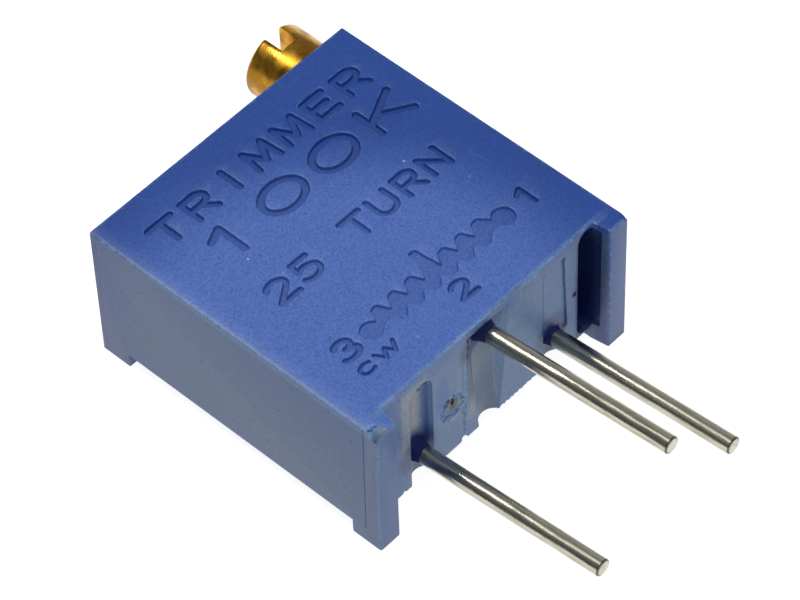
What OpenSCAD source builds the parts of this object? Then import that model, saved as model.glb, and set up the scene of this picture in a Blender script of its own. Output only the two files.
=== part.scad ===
// Multi-turn trimmer potentiometer, top adjustment, three terminals in a triangle.
// The body lies on its back feet: +Z is the outward normal of the marked face, +X runs along
// the marking's reading direction and +Y points to the adjusting screw. The origin is at the
// middle of the overall length and width, on the plane of the back feet. Millimetres.

/* [Body] */
// Width of the body across the marked face
body_w = 9.53; // [9.1:0.01:11]
// Height of the body from the seating plane to the screw face
body_h = 10.03; // [9.8:0.01:11.5]
// Thickness of the body from the back feet to the marked face
body_t = 4.75; // [4.6:0.01:5.6]
// Thickness of the wall behind the marked face
front_wall = 0.6; // [0.45:0.05:0.8]
// Thickness of the side walls at the potted back
side_wall = 0.38; // [0.3:0.01:0.42]
// Thickness of the wall that the screw comes out of
screw_wall = 0.88; // [0.8:0.02:1]
// Thickness of the wall that the terminals come out of
pin_wall = 0.95; // [0.85:0.05:1.1]
// Height of the four back feet
foot_h = 0.48; // [0.3:0.02:0.6]
// Width of each back foot
foot_w = 0.74; // [0.7:0.01:0.9]
// Length of each back foot along the side of the body
foot_l = 1.0; // [0.6:0.05:1.5]

/* [Pin side] */
// Height of the standoff ribs below the recessed pin wall
standoff_h = 0.56; // [0.3:0.01:0.7]
// Width of the standoff rib on the terminal 3 side, at its root
rib_w_3 = 0.79; // [0.7:0.01:1]
// Width of the standoff rib on the terminal 1 side, at its root
rib_w_1 = 0.74; // [0.7:0.01:0.9]
// Narrowing of the ribs from the root to the end
rib_draft = 0.08; // [0.02:0.01:0.15]
// Depth of the terminal channels in the pin wall
channel_depth = 0.3; // [0.2:0.01:0.36]
// Width of the channels of terminals 1 and 3
outer_channel_w = 0.86; // [0.8:0.01:1]
// Width of terminal 2's channel at the potted back
middle_channel_w = 0.8; // [0.75:0.01:0.9]
// Width of terminal 2's channel at its front end
middle_channel_front_w = 1.66; // [1.4:0.02:1.8]
// Distance from the marked face to the closed ends of the channels
channel_stop = 0.45; // [0.3:0.01:0.5]
// Depth of the shallow strip in front of terminal 1
strip_depth = 0.06; // [0.04:0.01:0.1]
// Width of the coring pocket beside the terminal 1 rib
pocket_w = 0.56; // [0.4:0.02:0.6]
// Depth of the coring pocket from the recessed wall
pocket_depth = 0.84; // [0.4:0.02:0.9]
// Reach of the coring pocket under the terminal 1 rib
pocket_undercut = 0.1; // [0.05:0.01:0.15]
// Distance from the marked face to the pocket
pocket_stop = 0.1; // [0.08:0.01:0.3]

/* [Terminals] */
// Diameter of the terminal pins
pin_d = 0.51; // [0.4:0.01:0.6]
// Reach of the terminal pins below the seating plane
pin_reach = 5.32; // [3:0.01:7]
// Spacing of neighbouring terminals along the width
pin_pitch = 2.54; // [2.3:0.01:2.6]
// Distance between the rear row of terminals and the front one
row_gap = 2.54; // [2.4:0.01:2.6]
// Height of the rear row above the back feet
rear_row_z = 1.46; // [1.4:0.01:1.5]
// Lean that handling has given to the pins, in degrees
pin_lean = 2.9; // [1:0.1:5]
// Direction of the lean, in degrees from +X towards +Z
pin_lean_dir = 39; // [0:1:90]

/* [Adjusting screw] */
// Distance from the screw axis to the terminal 1 side of the body
screw_inset = 1.19; // [1.15:0.01:1.3]
// Distance from the screw axis to the marked face
screw_depth = 1.35; // [1.3:0.01:1.5]
// Diameter of the slotted head
head_d = 2.2; // [1.9:0.05:2.3]
// Length of the head outside the body
head_len = 1.5; // [1:0.05:2]
// Width of the screwdriver slot
slot_w = 0.56; // [0.4:0.02:0.7]
// Depth of the screwdriver slot
slot_depth = 0.7; // [0.4:0.05:0.9]
// Diameter of the shaft in the screw bore
shaft_d = 1.6; // [1.59:0.01:1.66]
// Diameter of the end journal
journal_d = 0.68; // [0.5:0.02:0.7]
// Cord diameter of the O-ring
o_ring_cord = 0.4; // [0.3:0.01:0.42]
// Thickness of the retaining clip
clip_t = 0.3; // [0.2:0.02:0.32]
// Diameter of the screw's neck in the clip
clip_neck_d = 1.0; // [0.8:0.05:1.1]

/* [Worm gear] */
// Number of teeth of the worm wheel
wheel_teeth = 33; // [31:1:33]
// Module of the worm gear
gear_module = 0.18; // [0.175:0.001:0.182]
// Pressure angle of the thread and the teeth, in degrees
pressure_angle = 20; // [18:1:22]
// Pitch diameter of the worm
worm_pitch_d = 1.21; // [1.19:0.01:1.22]
// Number of thread turns on the worm
worm_turns = 5.5; // [5.3:0.1:6]
// Face width of the wheel's teeth
face_w = 1.2; // [0.8:0.05:1.2]
// Diameter of the spindle post that the wheel turns on
post_d = 1.8; // [1.4:0.05:1.9]
// Wall of the wheel's hub
hub_wall = 0.4; // [0.3:0.02:0.5]
// Room round the wheel's teeth
wheel_room = 0.12; // [0.1:0.01:0.15]
// Wall between the wheel chamber and the potting well on the terminal side
chamber_wall = 0.23; // [0.2:0.01:0.3]
// Number of screw turns from one end of the track to the other
travel_turns = 25; // [20:1:25]

/* [Resistance element] */
// Width of the ceramic substrate
substrate_w = 7.8; // [7.4:0.05:7.9]
// Thickness of the ceramic substrate
substrate_t = 0.63; // [0.55:0.01:0.64]
// Mean radius of the resistive track
track_r = 2.35; // [2.2:0.01:2.38]
// Width of the resistive track
track_w = 0.9; // [0.6:0.05:0.9]
// Mean radius of the collector ring
collector_r = 0.75; // [0.7:0.01:0.8]
// Width of the collector ring
collector_w = 0.5; // [0.4:0.02:0.56]
// Thickness of the wiper's spring strip
wiper_t = 0.1; // [0.08:0.01:0.12]
// Thickness of the printed films
film_t = 0.03; // [0.02:0.005:0.05]
// Thickness of the potting behind the substrate
potting_t = 0.66; // [0.6:0.01:0.7]

/* [Fits] */
// Radial running clearance of turning pieces
running_gap = 0.05; // [0.03:0.01:0.08]
// Clearance between pieces that are set in place
seat_gap = 0.03; // [0.02:0.005:0.05]
// Thickness taken off each gear tooth and thread turn for backlash
flank_gap = 0.03; // [0.02:0.005:0.04]
// Gap at film and wire surfaces
hair_gap = 0.01; // [0.005:0.001:0.015]

/* [Hidden] */
$fn = 64;
// How far cutting shapes run past the faces that they open
eps = 0.05;

// Worm and wheel
lead = PI * gear_module;
addendum = gear_module;
dedendum = 1.25 * gear_module;
wheel_r = gear_module * wheel_teeth / 2;
wheel_tip_r = wheel_r + addendum;
worm_r = worm_pitch_d / 2;
worm_tip_r = worm_r + addendum;
worm_root_r = worm_r - dedendum;
worm_len = worm_turns * lead;
lead_angle = atan(lead / (PI * worm_pitch_d));
tooth_t = lead / 2 - flank_gap;

// Levels above the back feet
substrate_z = foot_h + potting_t;
element_z = substrate_z + substrate_t;
front_row_z = rear_row_z + row_gap;
screw_z = body_t - screw_depth;
ceiling_z = body_t - front_wall;
rim_z = screw_z - face_w / 2;
hub_z = rim_z - 0.35;
wheel_top_z = ceiling_z - running_gap;
hub_r = post_d / 2 + hub_wall;

// Places in the body, with x = 0 at mid width and y = 0 at the seating plane
screw_x = body_w / 2 - screw_inset;
wheel_x = screw_x - wheel_r - worm_r;
cavity_r = wheel_tip_r + wheel_room;
pin_face_y = standoff_h;
channel_y = pin_face_y + channel_depth;
well_y0 = pin_face_y + pin_wall;
well_y1 = body_h - screw_wall;
wheel_y = well_y0 + chamber_wall + cavity_r;
substrate_y0 = well_y0 + seat_gap;
relief_y0 = well_y0 + 0.12;
relief_z = element_z + 0.25;
recess_w = substrate_w + 2 * seat_gap;
well_w = body_w - 2 * side_wall;

// Screw from the head inwards
bore_r = shaft_d / 2 + running_gap;
head_y = body_h + 0.02;
ring_y = body_h - 0.42;
ring_groove_w = o_ring_cord + 2 * seat_gap;
clip_y = well_y1 - clip_t / 2 - seat_gap;
clip_gap_w = clip_t + 2 * seat_gap;
recess_y1 = wheel_y + cavity_r + chamber_wall;
substrate_y1 = recess_y1 - seat_gap;
shaft_end_y = clip_y - clip_gap_w / 2 - 0.3;
journal_y0 = pin_face_y + pocket_depth + 0.35;
bore_end_y = journal_y0 + 0.5;
clip_leg = 0.22;
clip_w = clip_neck_d + 2 * (seat_gap + clip_leg);

// Terminals
pin_r = pin_d / 2;
pin_hole_r = pin_r + 0.095;
bend_r = 0.35;
notch_l = 0.85;
notch_w = pin_d + 0.16;
pin_end_y = substrate_y0 + notch_l - 0.1;
riser_y = well_y0 - pin_r - 0.045;
lean_start_y = pin_face_y + 0.1;
lean_bend_r = 2;
bend_thinning = 0.005;
bend_lap = 0.02;
lean_l = (lean_start_y + pin_reach - lean_bend_r * sin(pin_lean)) / cos(pin_lean);

// Wiper travel to each side of the middle
half_travel = 180 * travel_turns / wheel_teeth;
stop_lug_half = 10;
stop_slack = 1.5;
// Track left past the contact at each end of its travel, in degrees
track_margin = 8;
track_gap_half = 180 - half_travel - track_margin;
// Reach of the printed pads past the notches
pad_margin = 0.16;
// Length of the pads' tabs at the track's ends, in degrees
pad_tab_deg = 9;
// Half widths of the middle conductor at its notch and at the ring
strip_half = notch_w / 2 + 0.115;
strip_end_half = 0.35;
// Wiper plate and its fingers
plate_w = 0.45;
finger_w = 0.16;
track_finger_pitch = 0.24;
ring_finger_pitch = 0.28;

// The overall length runs from the pin tips to the end of the screw head
tip_y = -pin_reach - pin_r * sin(pin_lean);
origin_y = (head_y + head_len + tip_y) / 2;

// Sets a piece from body places into the part's frame
module in_frame() {
    translate([0, -origin_y, 0]) children();
}

// Box given by its low and high corners
module block(low, high) {
    translate(low) cube([high[0] - low[0], high[1] - low[1], high[2] - low[2]]);
}

// Rod along +Y from y0 to y1 at the place x, z
module rod_y(x, z, y0, y1, r) {
    translate([x, y0, z]) rotate([-90, 0, 0]) cylinder(h = y1 - y0, r = r);
}

// Ring sector about the wheel's axis, between two radii, two levels and two angles
module ring_sector(r0, r1, z0, z1, a0, a1) {
    translate([wheel_x, wheel_y, 0])
        rotate([0, 0, a0])
            rotate_extrude(angle = a1 - a0)
                translate([r0, z0]) square([r1 - r0, z1 - z0]);
}

// Radius of a circle whose cap has the given width and depth
function arc_r(width, depth) = (pow(width / 2, 2) + pow(depth, 2)) / (2 * depth);

function pin_x(n) = (2 - n) * pin_pitch;
function pin_z(n) = n == 2 ? front_row_z : rear_row_z;

// ---- Housing ----

// Rounded trough along the pin wall at x, open at the back, with a domed end at z1
module trough(x, z1) {
    r = arc_r(outer_channel_w, channel_depth);
    translate([x, channel_y - r, 0]) {
        cylinder(h = z1, r = r);
        translate([0, 0, z1]) sphere(r = r);
    }
}

// Channel of terminal 3, which runs almost to the marked face
module long_channel() {
    trough(pin_x(3), body_t - channel_stop - outer_channel_w / 2);
}

// Channel of terminal 1, which ends just in front of its pin
module short_channel() {
    trough(pin_x(1), rear_row_z - 0.1);
}

// Channel of terminal 2: part of a cone that widens towards the marked face
module middle_channel() {
    r0 = arc_r(middle_channel_w, channel_depth - 0.04);
    r1 = arc_r(middle_channel_front_w, channel_depth + 0.02);
    z1 = body_t - channel_stop;
    y0 = pin_face_y + channel_depth - 0.04 - r0;
    y1 = pin_face_y + channel_depth + 0.02 - r1;
    tilt = atan((y1 - y0) / (z1 - foot_h));
    translate([0, y0, foot_h])
        rotate([-tilt, 0, 0])
            translate([0, 0, -0.5])
                cylinder(h = (z1 - foot_h) / cos(tilt) + 0.5,
                         r1 = r0 - 0.5 * (r1 - r0) / (z1 - foot_h), r2 = r1);
}

// Shallow filled strip in front of terminal 1
module filled_strip() {
    x = pin_x(1);
    half = outer_channel_w / 2;
    z1 = body_t - channel_stop;
    translate([0, pin_face_y + strip_depth, 0])
        rotate([90, 0, 0])
            linear_extrude(height = strip_depth + eps)
                polygon([
                    [x - half, rear_row_z],
                    [x + half + 0.1, rear_row_z],
                    [x + half - 0.04, z1],
                    [x - half + 0.08, z1],
                    [x - half, z1 - 0.2]]);
}

// Slot through the pin wall that one terminal drops into from the back
module pin_slot(n) {
    x = pin_x(n);
    z = pin_z(n);
    block([x - pin_hole_r, pin_face_y - eps, foot_h - eps], [x + pin_hole_r, well_y0 + seat_gap, z]);
    rod_y(x, z, pin_face_y - eps, well_y0 + seat_gap, pin_hole_r);
}

// Slot for terminal 2, which rises inside the pin wall; y0 is where it opens
module riser_slot(y0) {
    block([-pin_hole_r, y0, foot_h - eps], [pin_hole_r, well_y0, front_row_z]);
    rod_y(0, front_row_z, y0, well_y0, pin_hole_r);
    block([-pin_hole_r, well_y0 - eps, foot_h - eps], [pin_hole_r, well_y0 + eps, rear_row_z]);
    rod_y(0, rear_row_z, well_y0 - eps, well_y0 + eps, pin_hole_r);
}

// Coring pocket beside the terminal 1 rib, with round ends, which reaches under the rib
module pocket() {
    x1 = body_w / 2 - rib_w_1 + pocket_undercut;
    r = (pocket_w + pocket_undercut) / 2;
    y0 = pin_face_y / 2;
    y1 = pin_face_y + pocket_depth;
    z0 = foot_h + 0.05 + r;
    z1 = body_t - pocket_stop - r;
    block([x1 - 2 * r, y0, z0], [x1, y1, z1]);
    rod_y(x1 - r, z0, y0, y1, r);
    rod_y(x1 - r, z1, y0, y1, r);
}

// Open space between the standoff ribs, whose inner sides have draft
module standoff_gap() {
    x0 = rib_w_3 - body_w / 2;
    x1 = body_w / 2 - rib_w_1;
    draft = rib_draft * (1 + eps / standoff_h);
    translate([0, 0, -eps])
        linear_extrude(height = body_t + 2 * eps)
            polygon([[x0 - draft, -eps], [x1 + draft, -eps], [x1, pin_face_y], [x0, pin_face_y]]);
}

// Everything that is open between the potted back and the ceiling
module inner_space() {
    block([-well_w / 2, well_y0, foot_h - eps], [well_w / 2, well_y1, substrate_z - 0.2]);
    block([-recess_w / 2, well_y0, foot_h - eps], [recess_w / 2, recess_y1, element_z]);
    translate([wheel_x, wheel_y, element_z - eps])
        cylinder(h = ceiling_z - element_z + eps, r = cavity_r);
    // Relief over the soldered pads
    block([-pin_pitch - 0.7, relief_y0, element_z - eps], [pin_pitch + 0.7, well_y0 + 1.7, relief_z]);
    // Bores of the screw and its end journal
    rod_y(screw_x, screw_z, bore_end_y, body_h + eps, bore_r);
    rod_y(screw_x, screw_z, journal_y0, bore_end_y + eps, journal_d / 2 + running_gap);
    clip_slot();
}

// Slot that the retaining clip is pushed into from the back
module clip_slot() {
    half = clip_w / 2 + seat_gap;
    block([screw_x - half, clip_y - clip_gap_w / 2, foot_h - eps],
          [screw_x + half, clip_y + clip_gap_w / 2, screw_z + clip_neck_d / 2 + clip_leg + seat_gap]);
}

module housing() {
    color([0.2, 0.36, 0.68])
    in_frame() {
        difference() {
            block([-body_w / 2, 0, 0], [body_w / 2, body_h, body_t]);
            // Gaps between the back feet, along the width and along the sides
            block([foot_w - body_w / 2, -eps, -eps], [body_w / 2 - foot_w, body_h + eps, foot_h]);
            block([-body_w / 2 - eps, foot_l, -eps], [body_w / 2 + eps, body_h - foot_l, foot_h]);
            standoff_gap();
            pocket();
            long_channel();
            middle_channel();
            short_channel();
            filled_strip();
            pin_slot(1);
            pin_slot(3);
            riser_slot(pin_face_y - eps);
            inner_space();
        }
        spindle_post();
        travel_stop();
    }
}

// Post under the ceiling that the worm wheel turns on
module spindle_post() {
    translate([wheel_x, wheel_y, hub_z + 0.15])
        cylinder(h = ceiling_z - hub_z - 0.15 + eps, d = post_d);
}

// Stop at the pin side that ends the wheel's travel both ways
module travel_stop() {
    half = 180 - half_travel - stop_lug_half - stop_slack;
    ring_sector(wheel_tip_r - 0.27, cavity_r + eps, relief_z, rim_z - running_gap,
                -90 - half, -90 + half);
}

// ---- Potting ----

// Sealing compound behind the substrate, in the clip slot and round the terminals
module potting() {
    color([0.13, 0.25, 0.5])
    in_frame()
        difference() {
            union() {
                block([-well_w / 2, well_y0, foot_h], [well_w / 2, well_y1, substrate_z - 0.2]);
                block([-recess_w / 2, well_y0, substrate_z - 0.2 - eps], [recess_w / 2, recess_y1, substrate_z]);
                clip_plug();
                pin_plug(1);
                pin_plug(3);
                riser_plug();
            }
            long_channel();
            middle_channel();
            short_channel();
            filled_strip();
            for (n = [1, 3])
                rod_y(pin_x(n), rear_row_z, 0, well_y0 + 2 * eps, pin_r + hair_gap);
            crank(pin_r + hair_gap, pin_face_y - eps);
        }
}

// Compound in the clip slot, up to the clip's legs
module clip_plug() {
    half = clip_w / 2 + seat_gap;
    block([screw_x - half, clip_y - clip_gap_w / 2, foot_h], [screw_x + half, clip_y + clip_gap_w / 2, clip_z0]);
}

// Compound that fills the slot round terminal 1 or 3
module pin_plug(n) {
    x = pin_x(n);
    block([x - pin_hole_r, pin_face_y, foot_h], [x + pin_hole_r, well_y0 + eps, substrate_z]);
    block([x - pin_hole_r, pin_face_y, foot_h], [x + pin_hole_r, well_y0, rear_row_z]);
    rod_y(x, rear_row_z, pin_face_y, well_y0, pin_hole_r);
}

// Compound that fills the slot round terminal 2 and its riser
module riser_plug() {
    block([-pin_hole_r, pin_face_y, foot_h], [pin_hole_r, well_y0, front_row_z]);
    rod_y(0, front_row_z, pin_face_y, well_y0, pin_hole_r);
    block([-pin_hole_r, well_y0 - eps, foot_h], [pin_hole_r, well_y0 + eps, substrate_z]);
}

// ---- Adjusting screw ----

// Radius of the worm thread at an angle from the middle of the thread
function thread_r(a, a_tip, a_root) =
    abs(a) <= a_tip ? worm_tip_r :
    abs(a) >= a_root ? worm_root_r :
    worm_tip_r - (worm_tip_r - worm_root_r) * (abs(a) - a_tip) / (a_root - a_tip);

// Evenly spaced angles from a to b, without b
function spread(a, b, steps) = [for (i = [0 : steps - 1]) a + (b - a) * i / steps];

// Cross-section of the single-start thread: its twist along the axis makes the worm
module worm_section() {
    a_tip = 360 * (tooth_t / 2 - addendum * tan(pressure_angle)) / lead;
    a_root = 360 * (tooth_t / 2 + dedendum * tan(pressure_angle)) / lead;
    angles = concat(spread(-a_root, -a_tip, 5), spread(-a_tip, a_tip, 4),
                    spread(a_tip, a_root, 5), spread(a_root, 360 - a_root, 6));
    polygon([for (a = angles)
        let (r = thread_r(a > 180 ? a - 360 : a, a_tip, a_root))
        [r * cos(a), r * sin(a)]]);
}

// Worm thread, right-handed, with a thread turn facing the wheel at the wheel's centre
module worm() {
    phase = 180 - 360 * worm_turns / 2;
    translate([screw_x, wheel_y - worm_len / 2, screw_z])
        rotate([-90, 0, 0])
            rotate([0, 0, phase])
                linear_extrude(height = worm_len, twist = -360 * worm_turns, slices = ceil(18 * worm_turns), $fn = 16)
                    worm_section();
}

module adjustment_screw() {
    neck_r = min(journal_d / 2, worm_root_r - 0.02);
    worm_y0 = wheel_y - worm_len / 2;
    worm_y1 = wheel_y + worm_len / 2;
    ring_y0 = ring_y - ring_groove_w / 2;
    ring_y1 = ring_y + ring_groove_w / 2;
    clip_y0 = clip_y - clip_gap_w / 2;
    clip_y1 = clip_y + clip_gap_w / 2;
    color([0.8, 0.62, 0.22])
    in_frame() {
        worm();
        rod_y(screw_x, screw_z, journal_y0 + running_gap, worm_y0 + eps, neck_r);
        rod_y(screw_x, screw_z, worm_y1 - eps, shaft_end_y + eps, neck_r);
        rod_y(screw_x, screw_z, shaft_end_y, clip_y0, shaft_d / 2);
        rod_y(screw_x, screw_z, clip_y0 - eps, clip_y1 + eps, clip_neck_d / 2);
        rod_y(screw_x, screw_z, clip_y1, ring_y0, shaft_d / 2);
        rod_y(screw_x, screw_z, ring_y0 - eps, ring_y1 + eps, shaft_d / 2 - o_ring_cord + seat_gap);
        rod_y(screw_x, screw_z, ring_y1, head_y + eps, shaft_d / 2);
        screw_head();
    }
}

// Slotted head with a small chamfer at its end
module screw_head() {
    chamfer = 0.07;
    difference() {
        union() {
            rod_y(screw_x, screw_z, head_y, head_y + head_len - chamfer, head_d / 2);
            translate([screw_x, head_y + head_len - chamfer, screw_z])
                rotate([-90, 0, 0])
                    cylinder(h = chamfer, r1 = head_d / 2, r2 = head_d / 2 - chamfer);
        }
        block([screw_x - slot_w / 2, head_y + head_len - slot_depth, screw_z - head_d],
              [screw_x + slot_w / 2, head_y + head_len + eps, screw_z + head_d]);
    }
}

// Seal ring in the screw's groove
module screw_o_ring() {
    color([0.15, 0.15, 0.16])
    in_frame()
        translate([screw_x, ring_y, screw_z])
            rotate([-90, 0, 0])
                rotate_extrude()
                    translate([shaft_d / 2 - o_ring_cord / 2 + seat_gap + hair_gap, 0])
                        circle(d = o_ring_cord - hair_gap, $fn = 32);
}

// U-shaped clip that straddles the screw's neck and keeps it from coming out
clip_z0 = substrate_z + 0.1;
module screw_retainer() {
    neck_r = clip_neck_d / 2 + seat_gap;
    color([0.7, 0.7, 0.72])
    in_frame()
        difference() {
            block([screw_x - clip_w / 2, clip_y - clip_t / 2, clip_z0],
                  [screw_x + clip_w / 2, clip_y + clip_t / 2, screw_z + clip_neck_d / 2 + clip_leg]);
            rod_y(screw_x, screw_z, clip_y - clip_t, clip_y + clip_t, neck_r);
            block([screw_x - neck_r, clip_y - clip_t, screw_z],
                  [screw_x + neck_r, clip_y + clip_t, body_t]);
        }
}

// ---- Worm wheel and wiper ----

// Involute function, in degrees
function inv(a) = tan(a) * 180 / PI - a;

// Half of a tooth's angle at a radius, in degrees
function half_tooth(r) =
    tooth_t / 2 / wheel_r * 180 / PI + inv(pressure_angle) - inv(acos(min(1, base_r / r)));

function polar(r, a) = [r * cos(a), r * sin(a)];

base_r = wheel_r * cos(pressure_angle);

// Outline of the toothed rim, with a tooth gap towards the worm
module wheel_outline() {
    steps = 3;
    root_r = wheel_r - dedendum;
    flank = [for (i = [0 : steps]) base_r + (wheel_tip_r - base_r) * i / steps];
    pitch = 360 / wheel_teeth;
    polygon([for (t = [0 : wheel_teeth - 1])
        let (mid = (t + 0.5) * pitch)
        each concat(
            [polar(root_r, mid - half_tooth(base_r))],
            [for (i = [0 : steps]) polar(flank[i], mid - half_tooth(flank[i]))],
            [for (i = [steps : -1 : 0]) polar(flank[i], mid + half_tooth(flank[i]))],
            [polar(root_r, mid + half_tooth(base_r))])]);
}

// Wheel with helical teeth, a web, a hub and a lug that meets the housing's stop
module worm_wheel() {
    twist_deg = face_w * tan(lead_angle) / wheel_r * 180 / PI;
    rim_r = wheel_r - dedendum - 0.45;
    color([0.93, 0.92, 0.88])
    in_frame() {
        difference() {
            union() {
                translate([wheel_x, wheel_y, screw_z])
                    rotate([0, 0, -twist_deg / 2])
                        linear_extrude(height = face_w, center = true, twist = -twist_deg, slices = 2)
                            wheel_outline();
                translate([wheel_x, wheel_y, hub_z])
                    cylinder(h = wheel_top_z - hub_z, r = hub_r);
            }
            translate([wheel_x, wheel_y, hub_z - eps])
                cylinder(h = body_t, r = post_d / 2 + running_gap);
            // Dish above the web
            difference() {
                translate([wheel_x, wheel_y, rim_z + 0.5]) cylinder(h = body_t, r = rim_r);
                translate([wheel_x, wheel_y, rim_z]) cylinder(h = body_t, r = hub_r);
            }
        }
        ring_sector(wheel_tip_r - 0.75, wheel_tip_r - 0.05, hub_z + 0.05, rim_z + eps,
                    90 - stop_lug_half, 90 + stop_lug_half);
    }
}

// One spring finger along +Y, from its root on the plate down to its contact tip
module finger(x, y0, y1, width) {
    tip_r = wiper_t / 2;
    tip_z = element_z + film_t + hair_gap + tip_r;
    root_z = hub_z - wiper_t / 2;
    drop = atan2(tip_z - root_z, y1 - y0);
    run = sqrt(pow(y1 - y0, 2) + pow(tip_z - root_z, 2));
    translate([x - width / 2, y0, root_z])
        rotate([drop, 0, 0])
            translate([0, 0, -wiper_t / 2]) cube([width, run, wiper_t]);
    translate([x - width / 2, y1, tip_z])
        rotate([0, 90, 0]) cylinder(h = width, r = tip_r, $fn = 24);
}

// Multi-finger contact under the wheel: three fingers on the track, two on the collector
module wiper_contact() {
    root_r = hub_r - wiper_t - wiper_t;
    color([0.85, 0.76, 0.5])
    in_frame()
        translate([wheel_x, wheel_y, 0]) {
            translate([0, 0, hub_z - wiper_t])
                difference() {
                    cylinder(h = wiper_t, r = hub_r);
                    translate([0, 0, -eps]) cylinder(h = 1, r = hub_r - plate_w);
                }
            for (i = [-1 : 1])
                finger(i * track_finger_pitch, root_r, track_r, finger_w);
            for (i = [-1, 1])
                finger(i * ring_finger_pitch / 2, -root_r, collector_r, finger_w);
        }
}

// ---- Resistance element ----

// Notches in the substrate's edge that hold the terminals
module notches(z0, z1) {
    for (n = [1 : 3])
        block([pin_x(n) - notch_w / 2, substrate_y0 - eps, z0], [pin_x(n) + notch_w / 2, substrate_y0 + notch_l, z1]);
}

module ceramic_substrate() {
    color([0.9, 0.9, 0.86])
    in_frame()
        difference() {
            block([-substrate_w / 2, substrate_y0, substrate_z], [substrate_w / 2, substrate_y1, element_z]);
            notches(0, body_t);
            clip_slot();
        }
}

// Printed cermet arc, open towards the terminals
module resistive_track() {
    color([0.12, 0.12, 0.13])
    in_frame()
        ring_sector(track_r - track_w / 2, track_r + track_w / 2, element_z, element_z + film_t,
                    -90 + track_gap_half, 270 - track_gap_half);
}

// Ring under the wheel's axis, joined to terminal 2 by a strip
module collector_ring() {
    y0 = substrate_y0 + pad_margin;
    y1 = substrate_y0 + notch_l + pad_margin;
    color([0.75, 0.75, 0.72])
    in_frame()
        difference() {
            union() {
                translate([wheel_x, wheel_y, element_z])
                    cylinder(h = film_t, r = collector_r + collector_w / 2);
                translate([0, 0, element_z])
                    linear_extrude(height = film_t)
                        polygon([
                            [-strip_half, y0],
                            [strip_half, y0],
                            [strip_half, y1],
                            [wheel_x + strip_end_half, wheel_y - collector_r],
                            [wheel_x - strip_end_half, wheel_y - collector_r],
                            [-strip_half, y1]]);
            }
            translate([wheel_x, wheel_y, 0]) cylinder(h = body_t, r = collector_r - collector_w / 2);
            notches(0, body_t);
        }
}

// Point of a pad's tab under one end of the track, in seat coordinates
function tab_point(side, r, a) = [wheel_x + side * r * cos(a), wheel_y + r * sin(a)];

// Conductor from one end of the track to its terminal; side is 1 or -1
module track_pad(side) {
    end_a = -90.4 + track_gap_half;
    inner_r = track_r - track_w / 2;
    outer_r = track_r + track_w / 2;
    x0 = side * (pin_pitch - notch_w / 2 - pad_margin);
    x1 = side * (pin_pitch + notch_w / 2 + pad_margin);
    y0 = substrate_y0 + pad_margin;
    y1 = substrate_y0 + notch_l + pad_margin;
    color([0.75, 0.75, 0.72])
    in_frame()
        difference() {
            translate([0, 0, element_z])
                linear_extrude(height = film_t)
                    polygon([
                        tab_point(side, inner_r, end_a),
                        tab_point(side, outer_r, end_a),
                        [x0, y1],
                        [x1, y1],
                        [x1, y0],
                        [x0, y0],
                        tab_point(side, outer_r, end_a - pad_tab_deg),
                        tab_point(side, inner_r, end_a - pad_tab_deg)]);
            notches(0, body_t);
        }
}

module track_pad_1() { track_pad(1); }
module track_pad_3() { track_pad(-1); }

// Solder that fills a notch round its terminal and laps onto the pad
module solder_joint(n) {
    x = pin_x(n);
    y0 = substrate_y0 + 0.05;
    y1 = substrate_y0 + notch_l;
    color([0.72, 0.73, 0.75])
    in_frame()
        difference() {
            union() {
                block([x - notch_w / 2, y0, substrate_z], [x + notch_w / 2, y1, element_z]);
                block([x - notch_w / 2, relief_y0 + seat_gap, element_z - eps],
                      [x + notch_w / 2, y1, element_z + film_t + eps]);
                block([x - notch_w / 2 - 0.1, relief_y0 + seat_gap, element_z + film_t],
                      [x + notch_w / 2 + 0.1, y1 + 0.12, element_z + film_t + 0.15]);
            }
            rod_y(x, rear_row_z, 0, pin_end_y + hair_gap, pin_r + hair_gap);
        }
}

module solder_joint_1() { solder_joint(1); }
module solder_joint_2() { solder_joint(2); }
module solder_joint_3() { solder_joint(3); }

// ---- Terminals ----

// Bend of round wire, a hair thinner than the straight lengths that it joins
module bend(radius, angle, wire_r) {
    rotate_extrude(angle = angle) translate([radius, 0]) circle(r = wire_r - bend_thinning);
}

// Inner length of terminal 2 from y0: it drops inside the pin wall from the front row to the rear one
module crank(wire_r, y0) {
    riser_z0 = rear_row_z + bend_r - bend_lap;
    riser_z1 = front_row_z - bend_r + bend_lap;
    rod_y(0, rear_row_z, riser_y + bend_r - bend_lap, pin_end_y, wire_r);
    translate([0, riser_y + bend_r, rear_row_z + bend_r]) rotate([0, 90, 180]) bend(bend_r, 90, wire_r);
    translate([0, riser_y, riser_z0]) cylinder(h = riser_z1 - riser_z0, r = wire_r);
    translate([0, riser_y - bend_r, front_row_z - bend_r]) rotate([90, 0, 90]) bend(bend_r, 90, wire_r);
    rod_y(0, front_row_z, y0, riser_y - bend_r + bend_lap, wire_r);
}

// Outer end of a terminal: a slight bend, then the straight leaning pin
module leaning_end(x, z) {
    translate([x, lean_start_y, z])
        rotate([0, -pin_lean_dir, 0])
            translate([lean_bend_r, 0, 0])
                rotate([0, 0, 180]) {
                    bend(lean_bend_r, pin_lean, pin_r);
                    rotate([0, 0, pin_lean])
                        translate([lean_bend_r, -bend_lap, 0])
                            rotate([-90, 0, 0]) cylinder(h = lean_l + bend_lap, r = pin_r);
                }
}

// Straight terminal of the rear row
module straight_terminal(n) {
    color([0.72, 0.71, 0.66])
    in_frame() {
        rod_y(pin_x(n), rear_row_z, lean_start_y - bend_lap, pin_end_y, pin_r);
        leaning_end(pin_x(n), rear_row_z);
    }
}

module terminal_pin_1() { straight_terminal(1); }
module terminal_pin_3() { straight_terminal(3); }

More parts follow.
